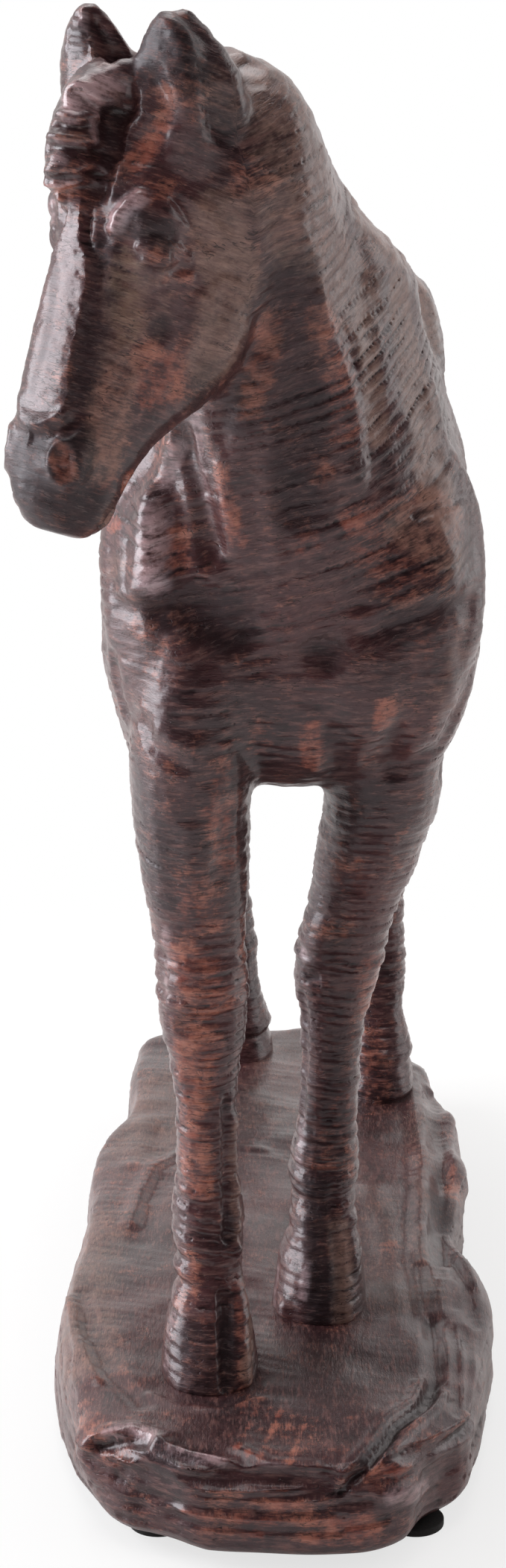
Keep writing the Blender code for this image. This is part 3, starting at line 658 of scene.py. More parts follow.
def knock(where, facing):
    broad = sum(height * cloud(where, size, seed) for size, seed, height in DENTS)
    fine = 0.10 * cloud(where * (1, 1, 1.8), size=2.2, seed=23)
    calm = 1 - FACE_CALM * on_face(where) * (where[:, 2] > HEAD_STARTS)
    where += facing * ((broad * 0.8 - 0.25) * calm + fine)[:, None]


print("dents about", DENTS[0][0], "and", DENTS[1][0], "mm wide")

# %% [markdown]
# A fine copy of the skin is made for each cast part, a little longer than the part. It gets the strokes and
# ribs, and is then cut at the real seam and closed there. Both sides of a seam are worked out from the same
# places, so they meet exactly. Each point also stores how proud it stands, which the paint needs later.

# %% Cut and close a piece at planes
SPARE = 4.0  # mm that a piece is longer while it is carved


def cut_at(made, planes, margin=0.0):
    shape = bmesh.new()
    shape.from_mesh(made.data)
    for point, outward in planes:
        outward = Vector(outward).normalized()
        whole = shape.verts[:] + shape.edges[:] + shape.faces[:]
        place = (Vector(point) + outward * margin) * MM
        cut = bmesh.ops.bisect_plane(shape, geom=whole, plane_co=place, plane_no=outward, clear_outer=True)
        rim = [item for item in cut["geom_cut"] if isinstance(item, bmesh.types.BMEdge) and item.is_boundary]
        for edge in rim:
            edge.smooth = False
        bmesh.ops.holes_fill(shape, edges=rim, sides=0)
    shape.to_mesh(made.data)
    shape.free()


def other_side(plane):
    point, outward = plane
    return (point, tuple(-value for value in outward))


print("the neck's seam leans", round(math.degrees(math.atan2(SEAM_NECK[1][2], -SEAM_NECK[1][1]))), "degrees")


# %% Values that the paint will read
def stored(made, **values):
    for name, amount in values.items():
        layer = made.data.attributes.new(name, "FLOAT", "POINT")
        layer.data.foreach_set("value", np.asarray(amount, np.float32))


def proudness(where, made, rounds=30):
    # mm that each point stands out of a smoothed copy
    twin = bpy.data.objects.new("soft twin", made.data.copy())
    bpy.context.collection.objects.link(twin)
    smoothed(twin, rounds)
    away = ((where - points(twin)) * read(twin, "normal")).sum(1)
    old = twin.data
    bpy.data.objects.remove(twin)
    bpy.data.meshes.remove(old)
    return away


def finished(made, node):
    for face in made.data.polygons:
        face.use_smooth = True
    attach(made, "root")
    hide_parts(node)
    print(made.name, "has", len(made.data.polygons), "faces")
    return made


print("stored values: level, lengthwise, crown, proud")


# %% Carve one part
FACE_LEVEL = 299  # mm, so that the levels of the neck run on into the face


def carved_part(name, node, voxel, planes, strokes, apart=()):
    # voxel is the size in mm of its even squares, apart the plane between a pair of legs
    copy = bpy.data.objects.new(name, clay.data.copy())
    bpy.context.collection.objects.link(copy)
    cut_at(copy, planes, SPARE)
    cut_at(copy, apart)
    only(copy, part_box(node))
    remeshed(copy, voxel)
    smoothed(copy, rounds=2)
    where, facing = points(copy), read(copy, "normal")
    for stroke in strokes:
        stroke(where, facing)
        facing = moved(copy, where)
    knock(where, facing)
    facing = moved(copy, where)
    lift, crown = rib_over(where, facing)
    where += facing * lift[:, None]
    low, high = (np.array(corner) / MM for corner in cad_box)
    where = np.clip(where, low, high)
    facing = moved(copy, where)
    broad = proudness(where, copy)
    share = regions(where, facing)
    level = where @ np.array((0.0, -0.05, 1.0))
    level = np.where(share["neck"] > 0.5, where @ NECK_AXIS, level)
    level = np.where(share["face"] > 0.5, FACE_LEVEL - (where - POLL) @ HEAD[0], level)
    stored(copy, level=level, lengthwise=share["back"], crown=crown, proud=broad)
    cut_at(copy, planes)
    return finished(copy, node)


BODY = (carve_front, carve_sides, carve_legs)
neck_and_head = carved_part("neck_and_head", "neck_and_head_casting", 0.55, [other_side(SEAM_NECK)],
                            (plane_nose, carve_face, carve_ears) + BODY)

# %% [markdown]
# The trunk is made as two meshes, front and rear, because one would have too many faces. Both stand for the
# one casting. The tail is hidden in the photograph and stays plain apart from its ribs. The four legs are
# taken from the same skin, parted between left and right before the remesh.

# %% Carve the trunk, the tail and the legs
SEAM_LEGS = ((0, 0, 139.0), (0, 0, 1))
SEAM_TAIL = ((0, 124.06, 0), (0, 1, 0))
HALVES = ((0, 6.0, 0), (0, 1, 0))
FRONT = [other_side(SEAM_LEGS), SEAM_NECK, HALVES]
REAR = [other_side(SEAM_LEGS), SEAM_TAIL, other_side(HALVES)]
torso_front = carved_part("torso_front", "torso_casting", 0.68, FRONT, BODY)
torso_rear = carved_part("torso_rear", "torso_casting", 0.75, REAR, BODY)
tail = carved_part("tail", "tail_casting", 0.6, [other_side(SEAM_TAIL)], ())
# x of the plane between a pair of legs, and the way to the side that is cut off
APART = {"fore_leg_left": (-1.4, -1), "fore_leg_right": (-1.4, 1),
         "hind_leg_left": (8.0, -1), "hind_leg_right": (8.0, 1)}
legs = [carved_part(name, name + "_casting", 0.5, [SEAM_LEGS], BODY, [((x, 0, 0), (outward, 0, 0))])
        for name, (x, outward) in APART.items()]

# %% [markdown]
# The base is cast as a slab of layered rock. It is carved like the figure: level strata run around its
# walls, a ledge and a diagonal cleft cross its front, and soft arcs lie on top. Its underside stays flat.

# %% Strokes for the rock
ROCK = (
    (3.6, 0.8, 176,1640, 186,1600, 202,1566, 240,1545, 300,1540, 350,1544),
    (5, -0.4, 190,1660, 206,1610, 230,1580), (4.4, 1.1, 552,1440, 566,1540, 568,1600, 566,1690, 580,1760),
    (4, -1.8, 586,1460, 590,1540, 594,1600, 592,1690), (2.6, -1.1, 566,1700, 576,1760, 585,1846),
    (1.5, -1.9, 585,1846, 574,1874, 566,1886, 530,1914, 520,1930, 496,1962, 470,1990, 460,2004),
    (3.2, 0.7, 566,1850, 556,1880, 520,1905, 490,1945, 462,1980),
    (2.4, 0.9, 598,1868, 584,1892, 545,1924, 516,1958), (1.2, -0.5, 560,1894, 520,1938, 486,1972),
    (1, -0.5, 548,1916, 524,1944), (4, -0.8, 500,1990, 540,1978, 580,1966),
    (1.5, -0.9, 492,1982, 540,1966, 592,1952), (3.6, 0.8, 524,2012, 556,2006, 590,1994),
    (1.8, -0.6, 606,1780, 614,1850, 616,1896), (1.8, -0.6, 624,1780, 634,1850, 634,1890),
    (2.4, 0.6, 596,1720, 604,1790, 606,1850), (2, 0.5, 614,1760, 624,1820, 626,1880),
    (3.4, 1, 110,1936, 140,1916, 182,1912, 222,1926), (3, 0.8, 206,1934, 250,1946, 306,1958),
    (2.6, 0.6, 176,1956, 230,1969, 290,1975), (2, -0.9, 130,1940, 170,1952, 200,1976),
    (3, 0.8, 320,1940, 360,1956, 420,1962), (3.4, -1.7, 236,1986, 300,1986, 360,1982, 440,1992),
    (1.7, -0.9, 120,1990, 200,2030, 300,2050, 420,2056, 520,2040),
    (1.7, -0.8, 112,1962, 180,2004, 280,2026, 400,2028, 500,2014),
    (1.3, -0.7, 150,1976, 240,2010, 360,2012, 450,2004), (1.3, -0.6, 160,2036, 260,2066, 400,2076),
    (1.6, 0.7, 240,2000, 330,2000, 420,1998), (1.6, 0.6, 210,2020, 300,2038, 420,2042),
    (1.6, -0.7, 610,1940, 640,1900, 652,1860), (1.6, -0.7, 600,1980, 636,1944, 652,1910),
    (5, 0.25, 497,1590, 514,1640, 530,1700, 536,1780), (5, 0.6, 200,1500, 190,1520, 180,1560),
    (3.4, 0.9, 90,1740, 100,1790, 126,1850), (3.4, -0.7, 110,1730, 120,1780, 146,1840, 190,1880),
    (2, 0.5, 200,1868, 240,1884, 300,1888, 350,1874), (3.4, 0.9, 600,1650, 620,1684, 640,1720),
    (2.6, -1, 606,1690, 626,1720, 640,1770),
)
CORNERS = (
    (10, -1.8, 214,1996, 214,2040, 217,2070), (10, -1.8, 590,1990, 586,2030), (9, 0.9, 136,1984, 150,2026),
    (9, 0.9, 634,1930, 628,1976), (12, 0.5, 400,2020, 400,2070),
)
LEDGES = (
    (3, 1.3, 130,1934, 170,1926, 216,1934, 250,1950, 310,1964),
    (2.6, 1.1, 160,1966, 220,1980, 300,1984, 400,1984), (3.4, 1.4, 548,1946, 590,1936, 618,1924, 636,1908),
)


def carve_rock(where, facing):
    carve_all(where, facing, CORNERS + ROCK, rock_surface)
    carve_all(where, facing, LEDGES, rock_surface, UNDER)


print(len(CORNERS) + len(ROCK) + len(LEDGES), "strokes for the rock")

# %% Layers of the rock
STRATUM, FINE_LAYER, BRUSHED = 3.6, 1.7, 3.4  # mm


def strata(where, facing):
    wall = smoothstep(1 - facing[:, 2] ** 2, 0.2, 0.7)
    level = where[:, 2] + 0.05 * where[:, 0] + 0.9 * cloud(where, size=30, seed=40)
    ledge, groove, slope = ribs(where, level, STRATUM, sharp=5, seed=41)
    fine = ribs(where, level, FINE_LAYER, sharp=4, seed=44)[1]
    layered = ledge * 1.1 - groove * 0.55 + slope * 0.4 - fine * 0.2
    across = where @ np.array((0.35, 1.0, 0.6))
    brush_ledge, brush_groove, _ = ribs(where, across, BRUSHED, sharp=5, seed=47)
    top = 0.12 * brush_ledge - 0.12 * brush_groove
    top = top + 0.5 * cloud(where, size=14, seed=50) + 0.22 * cloud(where, size=6, seed=51)
    return layered * wall + top * (1 - wall), 1 - (groove * wall + 0.7 * brush_groove * (1 - wall))


print("strata are", STRATUM, "mm thick, with fine layers of", FINE_LAYER, "mm")

# %% The slab with the feet sunk into it
SOLE = 0.0002   # metres of hoof that stay above the ground
SUNK = 0.012    # metres that the feet go down into the slab
FEET_GROWN = 0.5  # mm that the feet swell
slab = copied(["base_casting"], GROWN * MM)
feet = copied([name for name in FIGURE if "leg" in name], FEET_GROWN * MM)
whole = feet.verts[:] + feet.edges[:] + feet.faces[:]
bmesh.ops.bisect_plane(feet, geom=whole, plane_co=(0, 0, GROUND * MM + SOLE), plane_no=(0, 0, 1),
                       clear_outer=True)
bmesh.ops.holes_fill(feet, edges=[edge for edge in feet.edges if edge.is_boundary], sides=0)
for vert in feet.verts:
    if vert.co.z < GROUND * MM:
        vert.co.z -= SUNK
mesh = bpy.data.meshes.new("feet")
feet.to_mesh(mesh)
slab.from_mesh(mesh)
bpy.data.meshes.remove(mesh)
rock = only(remeshed(object_from(slab, "rock_base"), voxel=1.6))
smoothed(rock, rounds=40)
smoothed(remeshed(rock, voxel=0.85), rounds=2)
print("rock skin:", len(rock.data.vertices), "points")

# %% Carve the rock
rock_box = [np.array(corner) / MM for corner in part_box("base_casting")]
where, facing = points(rock), read(rock, "normal")
where -= facing * GROWN
carve_rock(where, facing)
facing = moved(rock, where)
swell = 0.6 * cloud(where, size=22, seed=52) + 0.2 * cloud(where, size=9, seed=53) - 0.3
where += facing * swell[:, None]
facing = moved(rock, where)
lift, crown = strata(where, facing)
underside = smoothstep(facing[:, 2], -0.5, -0.2)
where += facing * (lift * underside)[:, None]
where = np.clip(where, *rock_box)
facing = moved(rock, where)
stored(rock, crown=crown, level=where[:, 2], lengthwise=smoothstep(facing[:, 2], 0.4, 0.8),
       proud=proudness(where, rock))
finished(rock, "base_casting")

# %% [markdown]
# Four foam pads keep the base off the table. They are punched discs, so their edge is upright and only a
# little rounded: a cone with two equal radii, and a small bevel at both rims.

# %% Foam pads
SHARP = 1.0     # radians between two faces, past which an edge is a rim
RIM = 0.25      # mm


def foam_pad(node):
    low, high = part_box(node)
    radius, thick = (high[0] - low[0]) / 2, high[2] - low[2]
    shape = bmesh.new()
    bmesh.ops.create_cone(shape, cap_ends=True, segments=64, radius1=radius, radius2=radius, depth=thick)
    rims = [edge for edge in shape.edges if edge.calc_face_angle(0) > SHARP]
    bmesh.ops.bevel(shape, geom=rims, offset=RIM * MM, segments=3, profile=0.5, affect="EDGES", material=-1)
    bmesh.ops.translate(shape, vec=(Vector(low) + Vector(high)) / 2, verts=shape.verts)
    return finished(object_from(shape, node.replace("foot_pad", "foam_pad")), node)


pads = [foam_pad(node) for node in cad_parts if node.startswith("foot_pad")]

# %% [markdown]
# The finish is paint on resin under satin varnish. The whole casting is first sprayed dark plum brown. Then
# a nearly dry brush with terracotta touches only the crowns of the ribs, and a grey-brown wax is wiped over
# worn places; the same coat is laid as painted sheen on sides that face up and out, where light falls. Black
# glaze is left in the hollows, and the same near-black is painted as shade in hollows, grooves and under the
# shoulder points. Pale marks are painted highlights where light catches the varnish. Each coat is a mask in
# the shader, and the places of single brush marks come from strokes over the surface, as in the carving.

# %% Brush marks on the figure
# half width in mm and strength, then places in the picture
RED = (
    (2.7, 1.4, 210,122, 218,146, 212,172, 194,200, 180,214), (7, 0.45, 204,36, 198,90),
    (7, 0.4, 230,50, 240,100), (3.6, 0.55, 120,262, 136,300, 134,330), (3, 0.5, 150,236, 172,226),
    (3, 0.6, 190,250, 224,256), (2.6, 0.5, 150,330, 144,360), (2.6, 0.3, 206,338, 238,344),
    (1.8, 0.6, 226,373, 254,371), (2.2, 0.6, 196,262, 222,262), (3, 0.35, 262,316, 276,326),
    (2, 0.9, 72,258, 100,258), (2, 0.8, 150,108, 166,112), (4.6, 0.85, 196,484, 232,500, 226,522, 196,524),
    (5, 0.6, 156,516, 150,580, 146,640), (2.6, 1.1, 172,645, 150,704), (2.6, 1.2, 85,612, 85,632),
    (3, 0.4, 240,470, 262,450), (4, 0.5, 224,600, 208,650), (3.4, 1, 236,726, 240,752),
    (3.6, 0.95, 366,440, 350,500, 334,545), (2.4, 0.8, 298,630, 306,670, 320,724),
    (4.2, 0.6, 430,430, 452,480, 460,530, 464,572), (4, 0.5, 330,236, 352,246),
    (3.4, 0.35, 390,300, 440,320), (3.6, 1.2, 473,700), (3.2, 0.9, 432,640), (3.6, 0.8, 530,684, 585,668),
    (7, 0.7, 500,720, 530,770, 600,700), (4, 0.5, 412,730), (3, 1, 517,950, 516,975), (5, 0.4, 568,862),
    (5, 0.5, 211,891), (4, 0.4, 190,840), (3.6, 0.5, 302,1010, 300,1046), (3.2, 0.8, 416,980, 420,1024),
    (3, 0.4, 356,985, 340,1020), (6.5, 0.55, 262,1190, 270,1240), (6.5, 0.8, 250,1290, 284,1340),
    (6, 0.9, 262,1400, 256,1470), (5, 0.8, 250,1500, 262,1590), (3.4, 0.7, 322,1730, 332,1850),
    (4, 0.5, 252,1690, 246,1740), (4, 0.4, 276,1780, 262,1840), (4.6, 0.8, 296,1090, 312,1150),
    (3, 0.5, 330,1230, 328,1330), (5, 0.35, 420,1330), (5, 0.4, 450,1660), (6, 0.35, 440,1240),
    (4, 0.4, 440,1480, 430,1560), (6, 0.8, 505,1300, 500,1340), (6, 0.6, 496,1400, 500,1450),
    (3.4, 0.5, 470,1480, 476,1560), (2.6, 0.5, 236,1420, 236,1556), (6, 0.3, 440,1110, 470,1180),
)
# Grey-brown wax, and painted sheen: these marks also lighten the tops and sides where light falls, such as
# the forelock's top band and the right side of the neck.
WAX_AND_PAINTED_SHEEN = (
    (8, 0.7, 366,270, 400,330), (4.5, 0.9, 486,420, 500,500, 512,580), (7, 0.7, 540,700, 600,740),
    (7, 0.3, 470,700, 500,790), (8, 0.9, 530,400, 552,480, 578,600, 596,680),
    (13, 0.75, 350,90, 400,180, 440,300, 480,400), (8, 0.9, 290,300, 310,380, 286,480),
    (6, 0.75, 170,370, 172,440, 150,540, 140,620), (4.5, 0.6, 146,690, 150,760), (6, 0.5, 300,70, 320,150),
    (6, 0.5, 620,850, 600,940), (14, 0.9, 500,310, 540,360, 570,430), (6, 0.5, 210,380, 200,440),
    (5, 0.6, 290,110, 300,150), (3.6, 1, 328,1716, 334,1842), (2.6, 0.7, 316,1510, 320,1660),
    (3.6, 0.9, 456,1650, 462,1768), (3, 0.7, 130,118, 150,124), (2.4, 0.4, 90,176, 112,178),
    (3, 0.5, 210,700, 206,770), (7, 0.5, 280,330, 300,400, 290,450),
)
KHAKI = (
    (4, 0.9, 168,348, 166,400, 172,450), (5, 0.5, 330,200, 360,260), (3.4, 0.5, 150,560, 144,620),
    (8, 0.6, 530,790, 570,775, 618,760), (5, 0.7, 600,720, 620,750), (6, 0.5, 212,410, 205,440),
)
# Thick varnish, and painted highlights: these marks lighten the colour where light catches the forelock,
# brow, left shoulder point and knees.
GLOSS_AND_PAINTED_HIGHLIGHT = (
    (3.2, 1.3, 100,136, 120,124, 140,117, 152,113), (1.8, 1.2, 134,136, 132,182),
    (0.8, 0.8, 86,158, 104,162), (0.7, 0.7, 76,192, 102,194), (1, 0.8, 66,248, 96,246),
    (1.4, 0.5, 76,212, 84,216), (1.3, 1, 152,108, 164,100, 178,92), (2.2, 1.3, 156,298, 166,282, 186,266),
    (1.6, 0.7, 68,274, 66,290), (3.6, 1.1, 212,690, 206,735, 206,780), (2, 0.6, 240,600, 222,650),
    (1.6, 0.4, 262,560, 268,640, 276,700), (1.4, 0.4, 108,16, 112,36), (1.8, 0.8, 408,1280),
    (1.6, 0.6, 404,1500, 400,1560), (1.4, 0.5, 220,1250, 218,1330), (1.6, 0.5, 228,1768, 222,1830),
    (1.4, 0.7, 372,1704, 368,1756), (1.4, 0.6, 412,1700, 406,1740),
)
# Black glaze, and painted shade: these marks also darken the shadows under the shoulder points, in the
# grooves of the chest, around the eye and on the ear.
GLAZE_AND_PAINTED_SHADE = (
    (3.2, 0.5, 104,46, 108,92), (7, 0.9, 222,806, 256,816, 308,840), (5, 0.6, 436,873),
    (3.6, 0.55, 449,990, 452,1036), (3, 0.5, 526,985, 528,1040),
    (4, 0.7, 140,330, 136,400, 122,462, 108,530), (7, 0.8, 398,380, 402,540, 404,680),
    (5, 0.7, 374,470, 320,560), (4, 0.4, 150,230, 146,290), (3.6, 1, 178,300, 200,306, 226,318),
    (11, 0.5, 454,1050, 432,1150, 414,1260, 420,1400, 425,1500), (3, 0.8, 218,441),
    (7.5, 1, 40,610, 34,650, 60,690, 100,690), (1.8, 0.5, 80,300, 70,380, 58,450, 36,520),
    (9, 0.4, 206,24, 198,60, 212,100, 250,60), (5, 0.6, 300,100, 306,160), (1.6, 0.7, 190,352, 226,358),
    (2, 1, 72,602, 84,592, 98,604, 101,624), (2.4, 1, 304,1740, 303,1862), (2, 1, 306,1480, 307,1660),
    (4, 0.9, 424,1600, 430,1680, 430,1768), (5, 0.6, 260,1800, 262,1862), (3, 0.3, 234,1440, 238,1520),
    (7, 0.45, 190,1060, 204,1200), (3.6, 0.9, 112,596, 114,620, 110,646), (3, 0.7, 62,612, 66,640),
    (4, 0.5, 136,260, 146,300), (3, 0.5, 238,60, 250,110), (4, 0.5, 276,120, 284,160),
    (6, 1, 196,40, 206,90, 240,60, 262,96), (4, 0.5, 280,500, 262,530),
    (2.6, 0.35, 250,600, 262,680, 272,740), (4, 0.5, 85,660, 60,620),
    (3.6, 0.6, 620,812, 598,818, 563,828, 528,842), (3.4, 0.35, 152,160, 146,220), (4, 0.5, 210,60, 212,90),
    (3, 0.3, 290,1470, 300,1530),
)
print(sum(map(len, (RED, WAX_AND_PAINTED_SHEEN, KHAKI, GLOSS_AND_PAINTED_HIGHLIGHT, GLAZE_AND_PAINTED_SHADE))), "brush marks on the figure")

# %% Brush marks on the rock
ROCK_RED = (
    (1.1, 0.9, 336,1866, 308,1922), (1.2, 1.1, 350,1872, 318,1940), (1, 0.9, 362,1884, 332,1950),
    (1.2, 1, 376,1890, 346,1956), (0.9, 0.8, 392,1898, 366,1956), (1.1, 0.9, 408,1908, 388,1960),
    (0.9, 0.7, 322,1880, 300,1912), (0.9, 0.6, 424,1900, 408,1944), (2.6, 1, 380,2000),
    (2.4, 1, 344,2024, 410,2030), (2, 0.8, 404,2012), (3.4, 1, 420,2056, 500,2052),
    (2.6, 0.6, 226,2030, 282,2046), (3, 0.8, 500,1986, 560,1972), (8, 0.35, 150,1800, 160,1850),
    (3, 0.6, 104,1904), (5, 0.6, 300,2030, 340,2050), (8, 0.4, 190,1560, 170,1640), (4, 0.7, 524,1672),
    (4, 0.5, 120,1900, 160,1960), (4, 0.8, 600,1560, 612,1600),
)
# Painted sheen: these marks lighten the top of the rock where light from above falls on it.
ROCK_PAINTED_SHEEN = (
    (12, 0.7, 120,1640, 104,1740, 110,1820), (12, 0.7, 230,1450, 190,1540), (14, 0.5, 390,1400, 360,1500),
    (12, 0.5, 440,1560, 520,1660, 540,1740), (8, 0.5, 560,1500, 590,1620), (10, 0.3, 380,1800, 460,1840),
)
# Thick varnish, and painted highlights along the crests of the rock's front ledges.
ROCK_GLOSS_AND_PAINTED_HIGHLIGHT = (
    (1.5, 1, 144,1922, 176,1914, 212,1926), (1.3, 1, 222,1942, 260,1950, 298,1958),
    (1.1, 1, 190,1964, 240,1972, 282,1977), (1.9, 0.8, 526,2010, 556,2004, 582,1996),
    (1.2, 0.7, 554,1942, 592,1934, 628,1918), (1.4, 0.5, 352,1962, 380,1968),
)
# Painted shade: these marks darken the cleft and the shadow under the front ledges of the rock.
ROCK_GLAZE_AND_PAINTED_SHADE = (
    (4, 0.9, 600,1640, 590,1600), (1.5, 1.1, 470,1985, 500,1950, 530,1914, 566,1886, 582,1856),
    (2.6, 0.8, 245,1985, 320,1990, 398,1988), (3, 0.5, 250,1870, 300,1880, 360,1872),
)
MARKS = {"red": (RED, ROCK_RED), "wax_and_painted_sheen": (WAX_AND_PAINTED_SHEEN, ROCK_PAINTED_SHEEN), "khaki": (KHAKI, ()),
         "gloss_and_painted_highlight": (GLOSS_AND_PAINTED_HIGHLIGHT, ROCK_GLOSS_AND_PAINTED_HIGHLIGHT), "glaze_and_painted_shade": (GLAZE_AND_PAINTED_SHADE, ROCK_GLAZE_AND_PAINTED_SHADE)}
FRINGE = 0.8  # share of a mark's width over which it fades


def brushed(made, marks, tree):
    where = points(made)
    amount = np.zeros(len(where))
    for width, strength, *spots in marks:
        near, far, _ = reach(where, traced(spots, tree), width)
        if len(near):
            shape = smoothstep(1.25 - far / width, 0, FRINGE) * strength
            amount[near] = np.maximum(amount[near], shape)
    return amount


castings = [neck_and_head, torso_front, torso_rear, tail, *legs, rock]
for made in castings:
    tree = rock_surface if made is rock else surface
    stored(made, **{name: brushed(made, marks[made is rock], tree) for name, marks in MARKS.items()})
print("brush marks on", len(castings), "pieces")


# %% Helpers for materials
def linear(hex_colour):
    channels = [int(hex_colour[start:start + 2], 16) / 255 for start in (1, 3, 5)]
    return tuple(c / 12.92 if c <= 0.04045 else ((c + 0.055) / 1.055) ** 2.4 for c in channels) + (1.0,)


def add_node(tree, kind, inputs, out=0, **settings):
    # adds one node with its settings and links, and gives one of its outputs
    node = tree.nodes.new("ShaderNode" + kind)
    for key, value in settings.items():
        setattr(node, key, value)
    for key, value in inputs.items():
        if isinstance(value, bpy.types.NodeSocket):
            tree.links.new(value, node.inputs[key])
        else:
            node.inputs[key].default_value = linear(value) if isinstance(value, str) else value
    return node.outputs[out]


def new_material(name):
    material = bpy.data.materials.new(name)
    material.use_nodes = True
    tree = material.node_tree
    return material, tree, tree.nodes["Principled BSDF"], add_node(tree, "TexCoord", {}, "Object")


print("terracotta is", [round(value, 3) for value in linear("#884637")])

# %% [markdown]
# Every coat of paint needs a mask, a number from 0 to 1 for each point. It is made in one way throughout:
# some values are weighed and added, and a smooth ramp turns the sum into the mask. A pattern is a noise
# whose size is given in millimetres of the real object, stretched where a brush would stretch it.

# %% Weigh values, and make a mask of them
UNDER_COAT, OVER_COAT, MIXED = 6, 7, 2  # the colour sockets of a Mix node


def weighed(tree, *terms, clamp=False):
    # adds values, each times its weight, which is a number or a value itself
    total = None
    for value, weight in terms:
        if weight != 1:
            value = add_node(tree, "Math", {0: value, 1: weight}, operation="MULTIPLY")
        total = value if total is None else add_node(tree, "Math", {0: total, 1: value}, operation="ADD")
    if clamp:
        total.node.use_clamp = True
    return total


def mask(tree, start, end, *terms, low=0.0, high=1.0):
    return add_node(tree, "MapRange", {0: weighed(tree, *terms), 1: start, 2: end, 3: low, 4: high},
                    interpolation_type="SMOOTHSTEP")


def painted(tree, under, *coats):
    # lays coats over each other, each a share from 0 to 1 and a colour
    for share, colour in coats:
        under = add_node(tree, "Mix", {0: share, UNDER_COAT: under, OVER_COAT: colour}, MIXED,
                         data_type="RGBA")
    return under


def grain(tree, place, size_mm, detail, rough=0.55, stretch=(1, 1, 1), centre=(0, 0, 0)):
    laid = add_node(tree, "Mapping", {"Vector": place, "Scale": stretch, "Location": centre})
    return add_node(tree, "TexNoise", {"Vector": laid, "Scale": 1 / (size_mm * MM), "Detail": detail,
                                       "Roughness": rough}, "Fac")


print("a 5 mm pattern has scale", 1 / (5 * MM))

# %% [markdown]
# The resin is cast polyester, painted with acrylics by spray and dry brush, waxed, and varnished by brush to
# a satin gloss. What the eye sees are dark hollows, partly glaze and partly painted shade, worn terracotta
# on every rib, a dusty bloom on the shoulders that is partly painted sheen, and a broken shine that follows
# the brush, partly varnish and partly painted highlight.

# %% Dry-brushed resin: the patterns
paint, tree, shader, place = new_material("dry_brushed_resin")
crown, proud, level, lengthwise, red, wax_and_painted_sheen, khaki, gloss_and_painted_highlight, glaze_and_painted_shade = (
    add_node(tree, "Attribute", {}, "Fac", attribute_name=name, attribute_type="GEOMETRY")
    for name in ("crown", "proud", "level", "lengthwise", *MARKS))
sides = add_node(tree, "SeparateXYZ", {0: place}).node.outputs
around = add_node(tree, "CombineXYZ", {0: sides[0], 1: sides[1], 2: weighed(tree, (level, MM))})


def streaks(size_mm, flat, detail, centre):
    # bristle marks: along the ribs on most of the figure, lengthwise on its back
    ringed = grain(tree, around, size_mm, detail, 0.62, (1, 1, flat), centre)
    along = grain(tree, place, size_mm, detail, 0.62, (flat, 1, flat * 0.5), centre)
    return add_node(tree, "Mix", {0: lengthwise, 2: ringed, 3: along}, data_type="FLOAT")


cloudy = grain(tree, place, 34, 3)                                         # one pass of the spray gun
blotchy = grain(tree, place, 12, 5, 0.7, (1, 1, 1.3), (0.03, 0.01, 0))     # dabs of a 12 mm brush
mottled = grain(tree, place, 3.0, 5, 0.72, (1, 1, 1.2), (0.2, 0.3, 0.1))   # paint that skips over the tooth
streaky = streaks(5.0, 5.0, 4, (0, 0, 0))                                  # tufts of the brush, 1 mm apart
fine_streaks = streaks(2.2, 6.0, 3, (0.4, 0.1, 0.2))                       # its bristles, drawn 0.4 mm apart
dusty = grain(tree, place, 0.7, 3, 0.7)                                    # dust in the varnish
# Air bubbles in the resin leave pinholes of 0.3 mm. They are drawn at 1.3 mm, so that they show.
pits = mask(tree, 0.30, 0.24, (grain(tree, place, 1.3, 2, 0.5, (1, 1, 1), (0.1, 0.2, 0)), 1))
# Thin cracks run where a stretched cloud crosses its middle value.
middle = add_node(tree, "Math", {0: streaks(6.0, 4.5, 2, (0.7, 0.2, 0)), 1: 0.5}, operation="SUBTRACT")
thin = mask(tree, 0.0, 0.020, (add_node(tree, "Math", {0: middle}, operation="ABSOLUTE"), 1), low=1, high=0)
cracks = weighed(tree, (thin, mask(tree, 0.42, 0.62, (blotchy, 1))))
print("patterns:", len(tree.nodes), "nodes")

# %% Dry-brushed resin: ground and terracotta
deep = weighed(tree, (mask(tree, 0.50, 0.36, (blotchy, 1)), mask(tree, 0.58, 0.44, (streaky, 1), high=0.75)))
ground = painted(tree, "#4c2f31", (mask(tree, 0.35, 0.65, (cloudy, 1)), "#332225"),
                 (mask(tree, 0.48, 0.70, (streaky, 1), high=0.8), "#6d504c"), (deep, "#1c1316"))
wear = weighed(tree, (crown, 0.20), (proud, 0.14), (mottled, 0.75), (fine_streaks, 0.55))
patch = weighed(tree, (mask(tree, 0.42, 0.70, (blotchy, 1)), 0.17), (red, 0.27))
red_mask = mask(tree, 0.92, 1.30, (wear, 1), (patch, 1))
terracotta = painted(tree, "#884637", (mask(tree, 0.35, 0.6, (blotchy, 1)), "#a56d5b"))
print("with ground and terracotta:", len(tree.nodes), "nodes")

# %% Dry-brushed resin: wax, glaze, painted shade and painted highlights
# Grey-brown wax on worn places, with painted sheen where the marks above lighten the lit tops and sides.
wax_and_sheen_mask = mask(tree, 0.80, 1.35, (wear, 0.8), (wax_and_painted_sheen, 0.5), high=0.85)
khaki_mask = mask(tree, 0.85, 1.25, (wear, 0.7), (khaki, 0.45), high=0.8)
# Black glaze, and painted shade, on recessed points and in the grooves between the ribs.
glaze_and_shade_in_hollows = weighed(tree, (mask(tree, -0.12, -0.9, (proud, 1)), 1), (mask(tree, 0.6, 0.1, (crown, 1)), 0.8),
                 clamp=True)
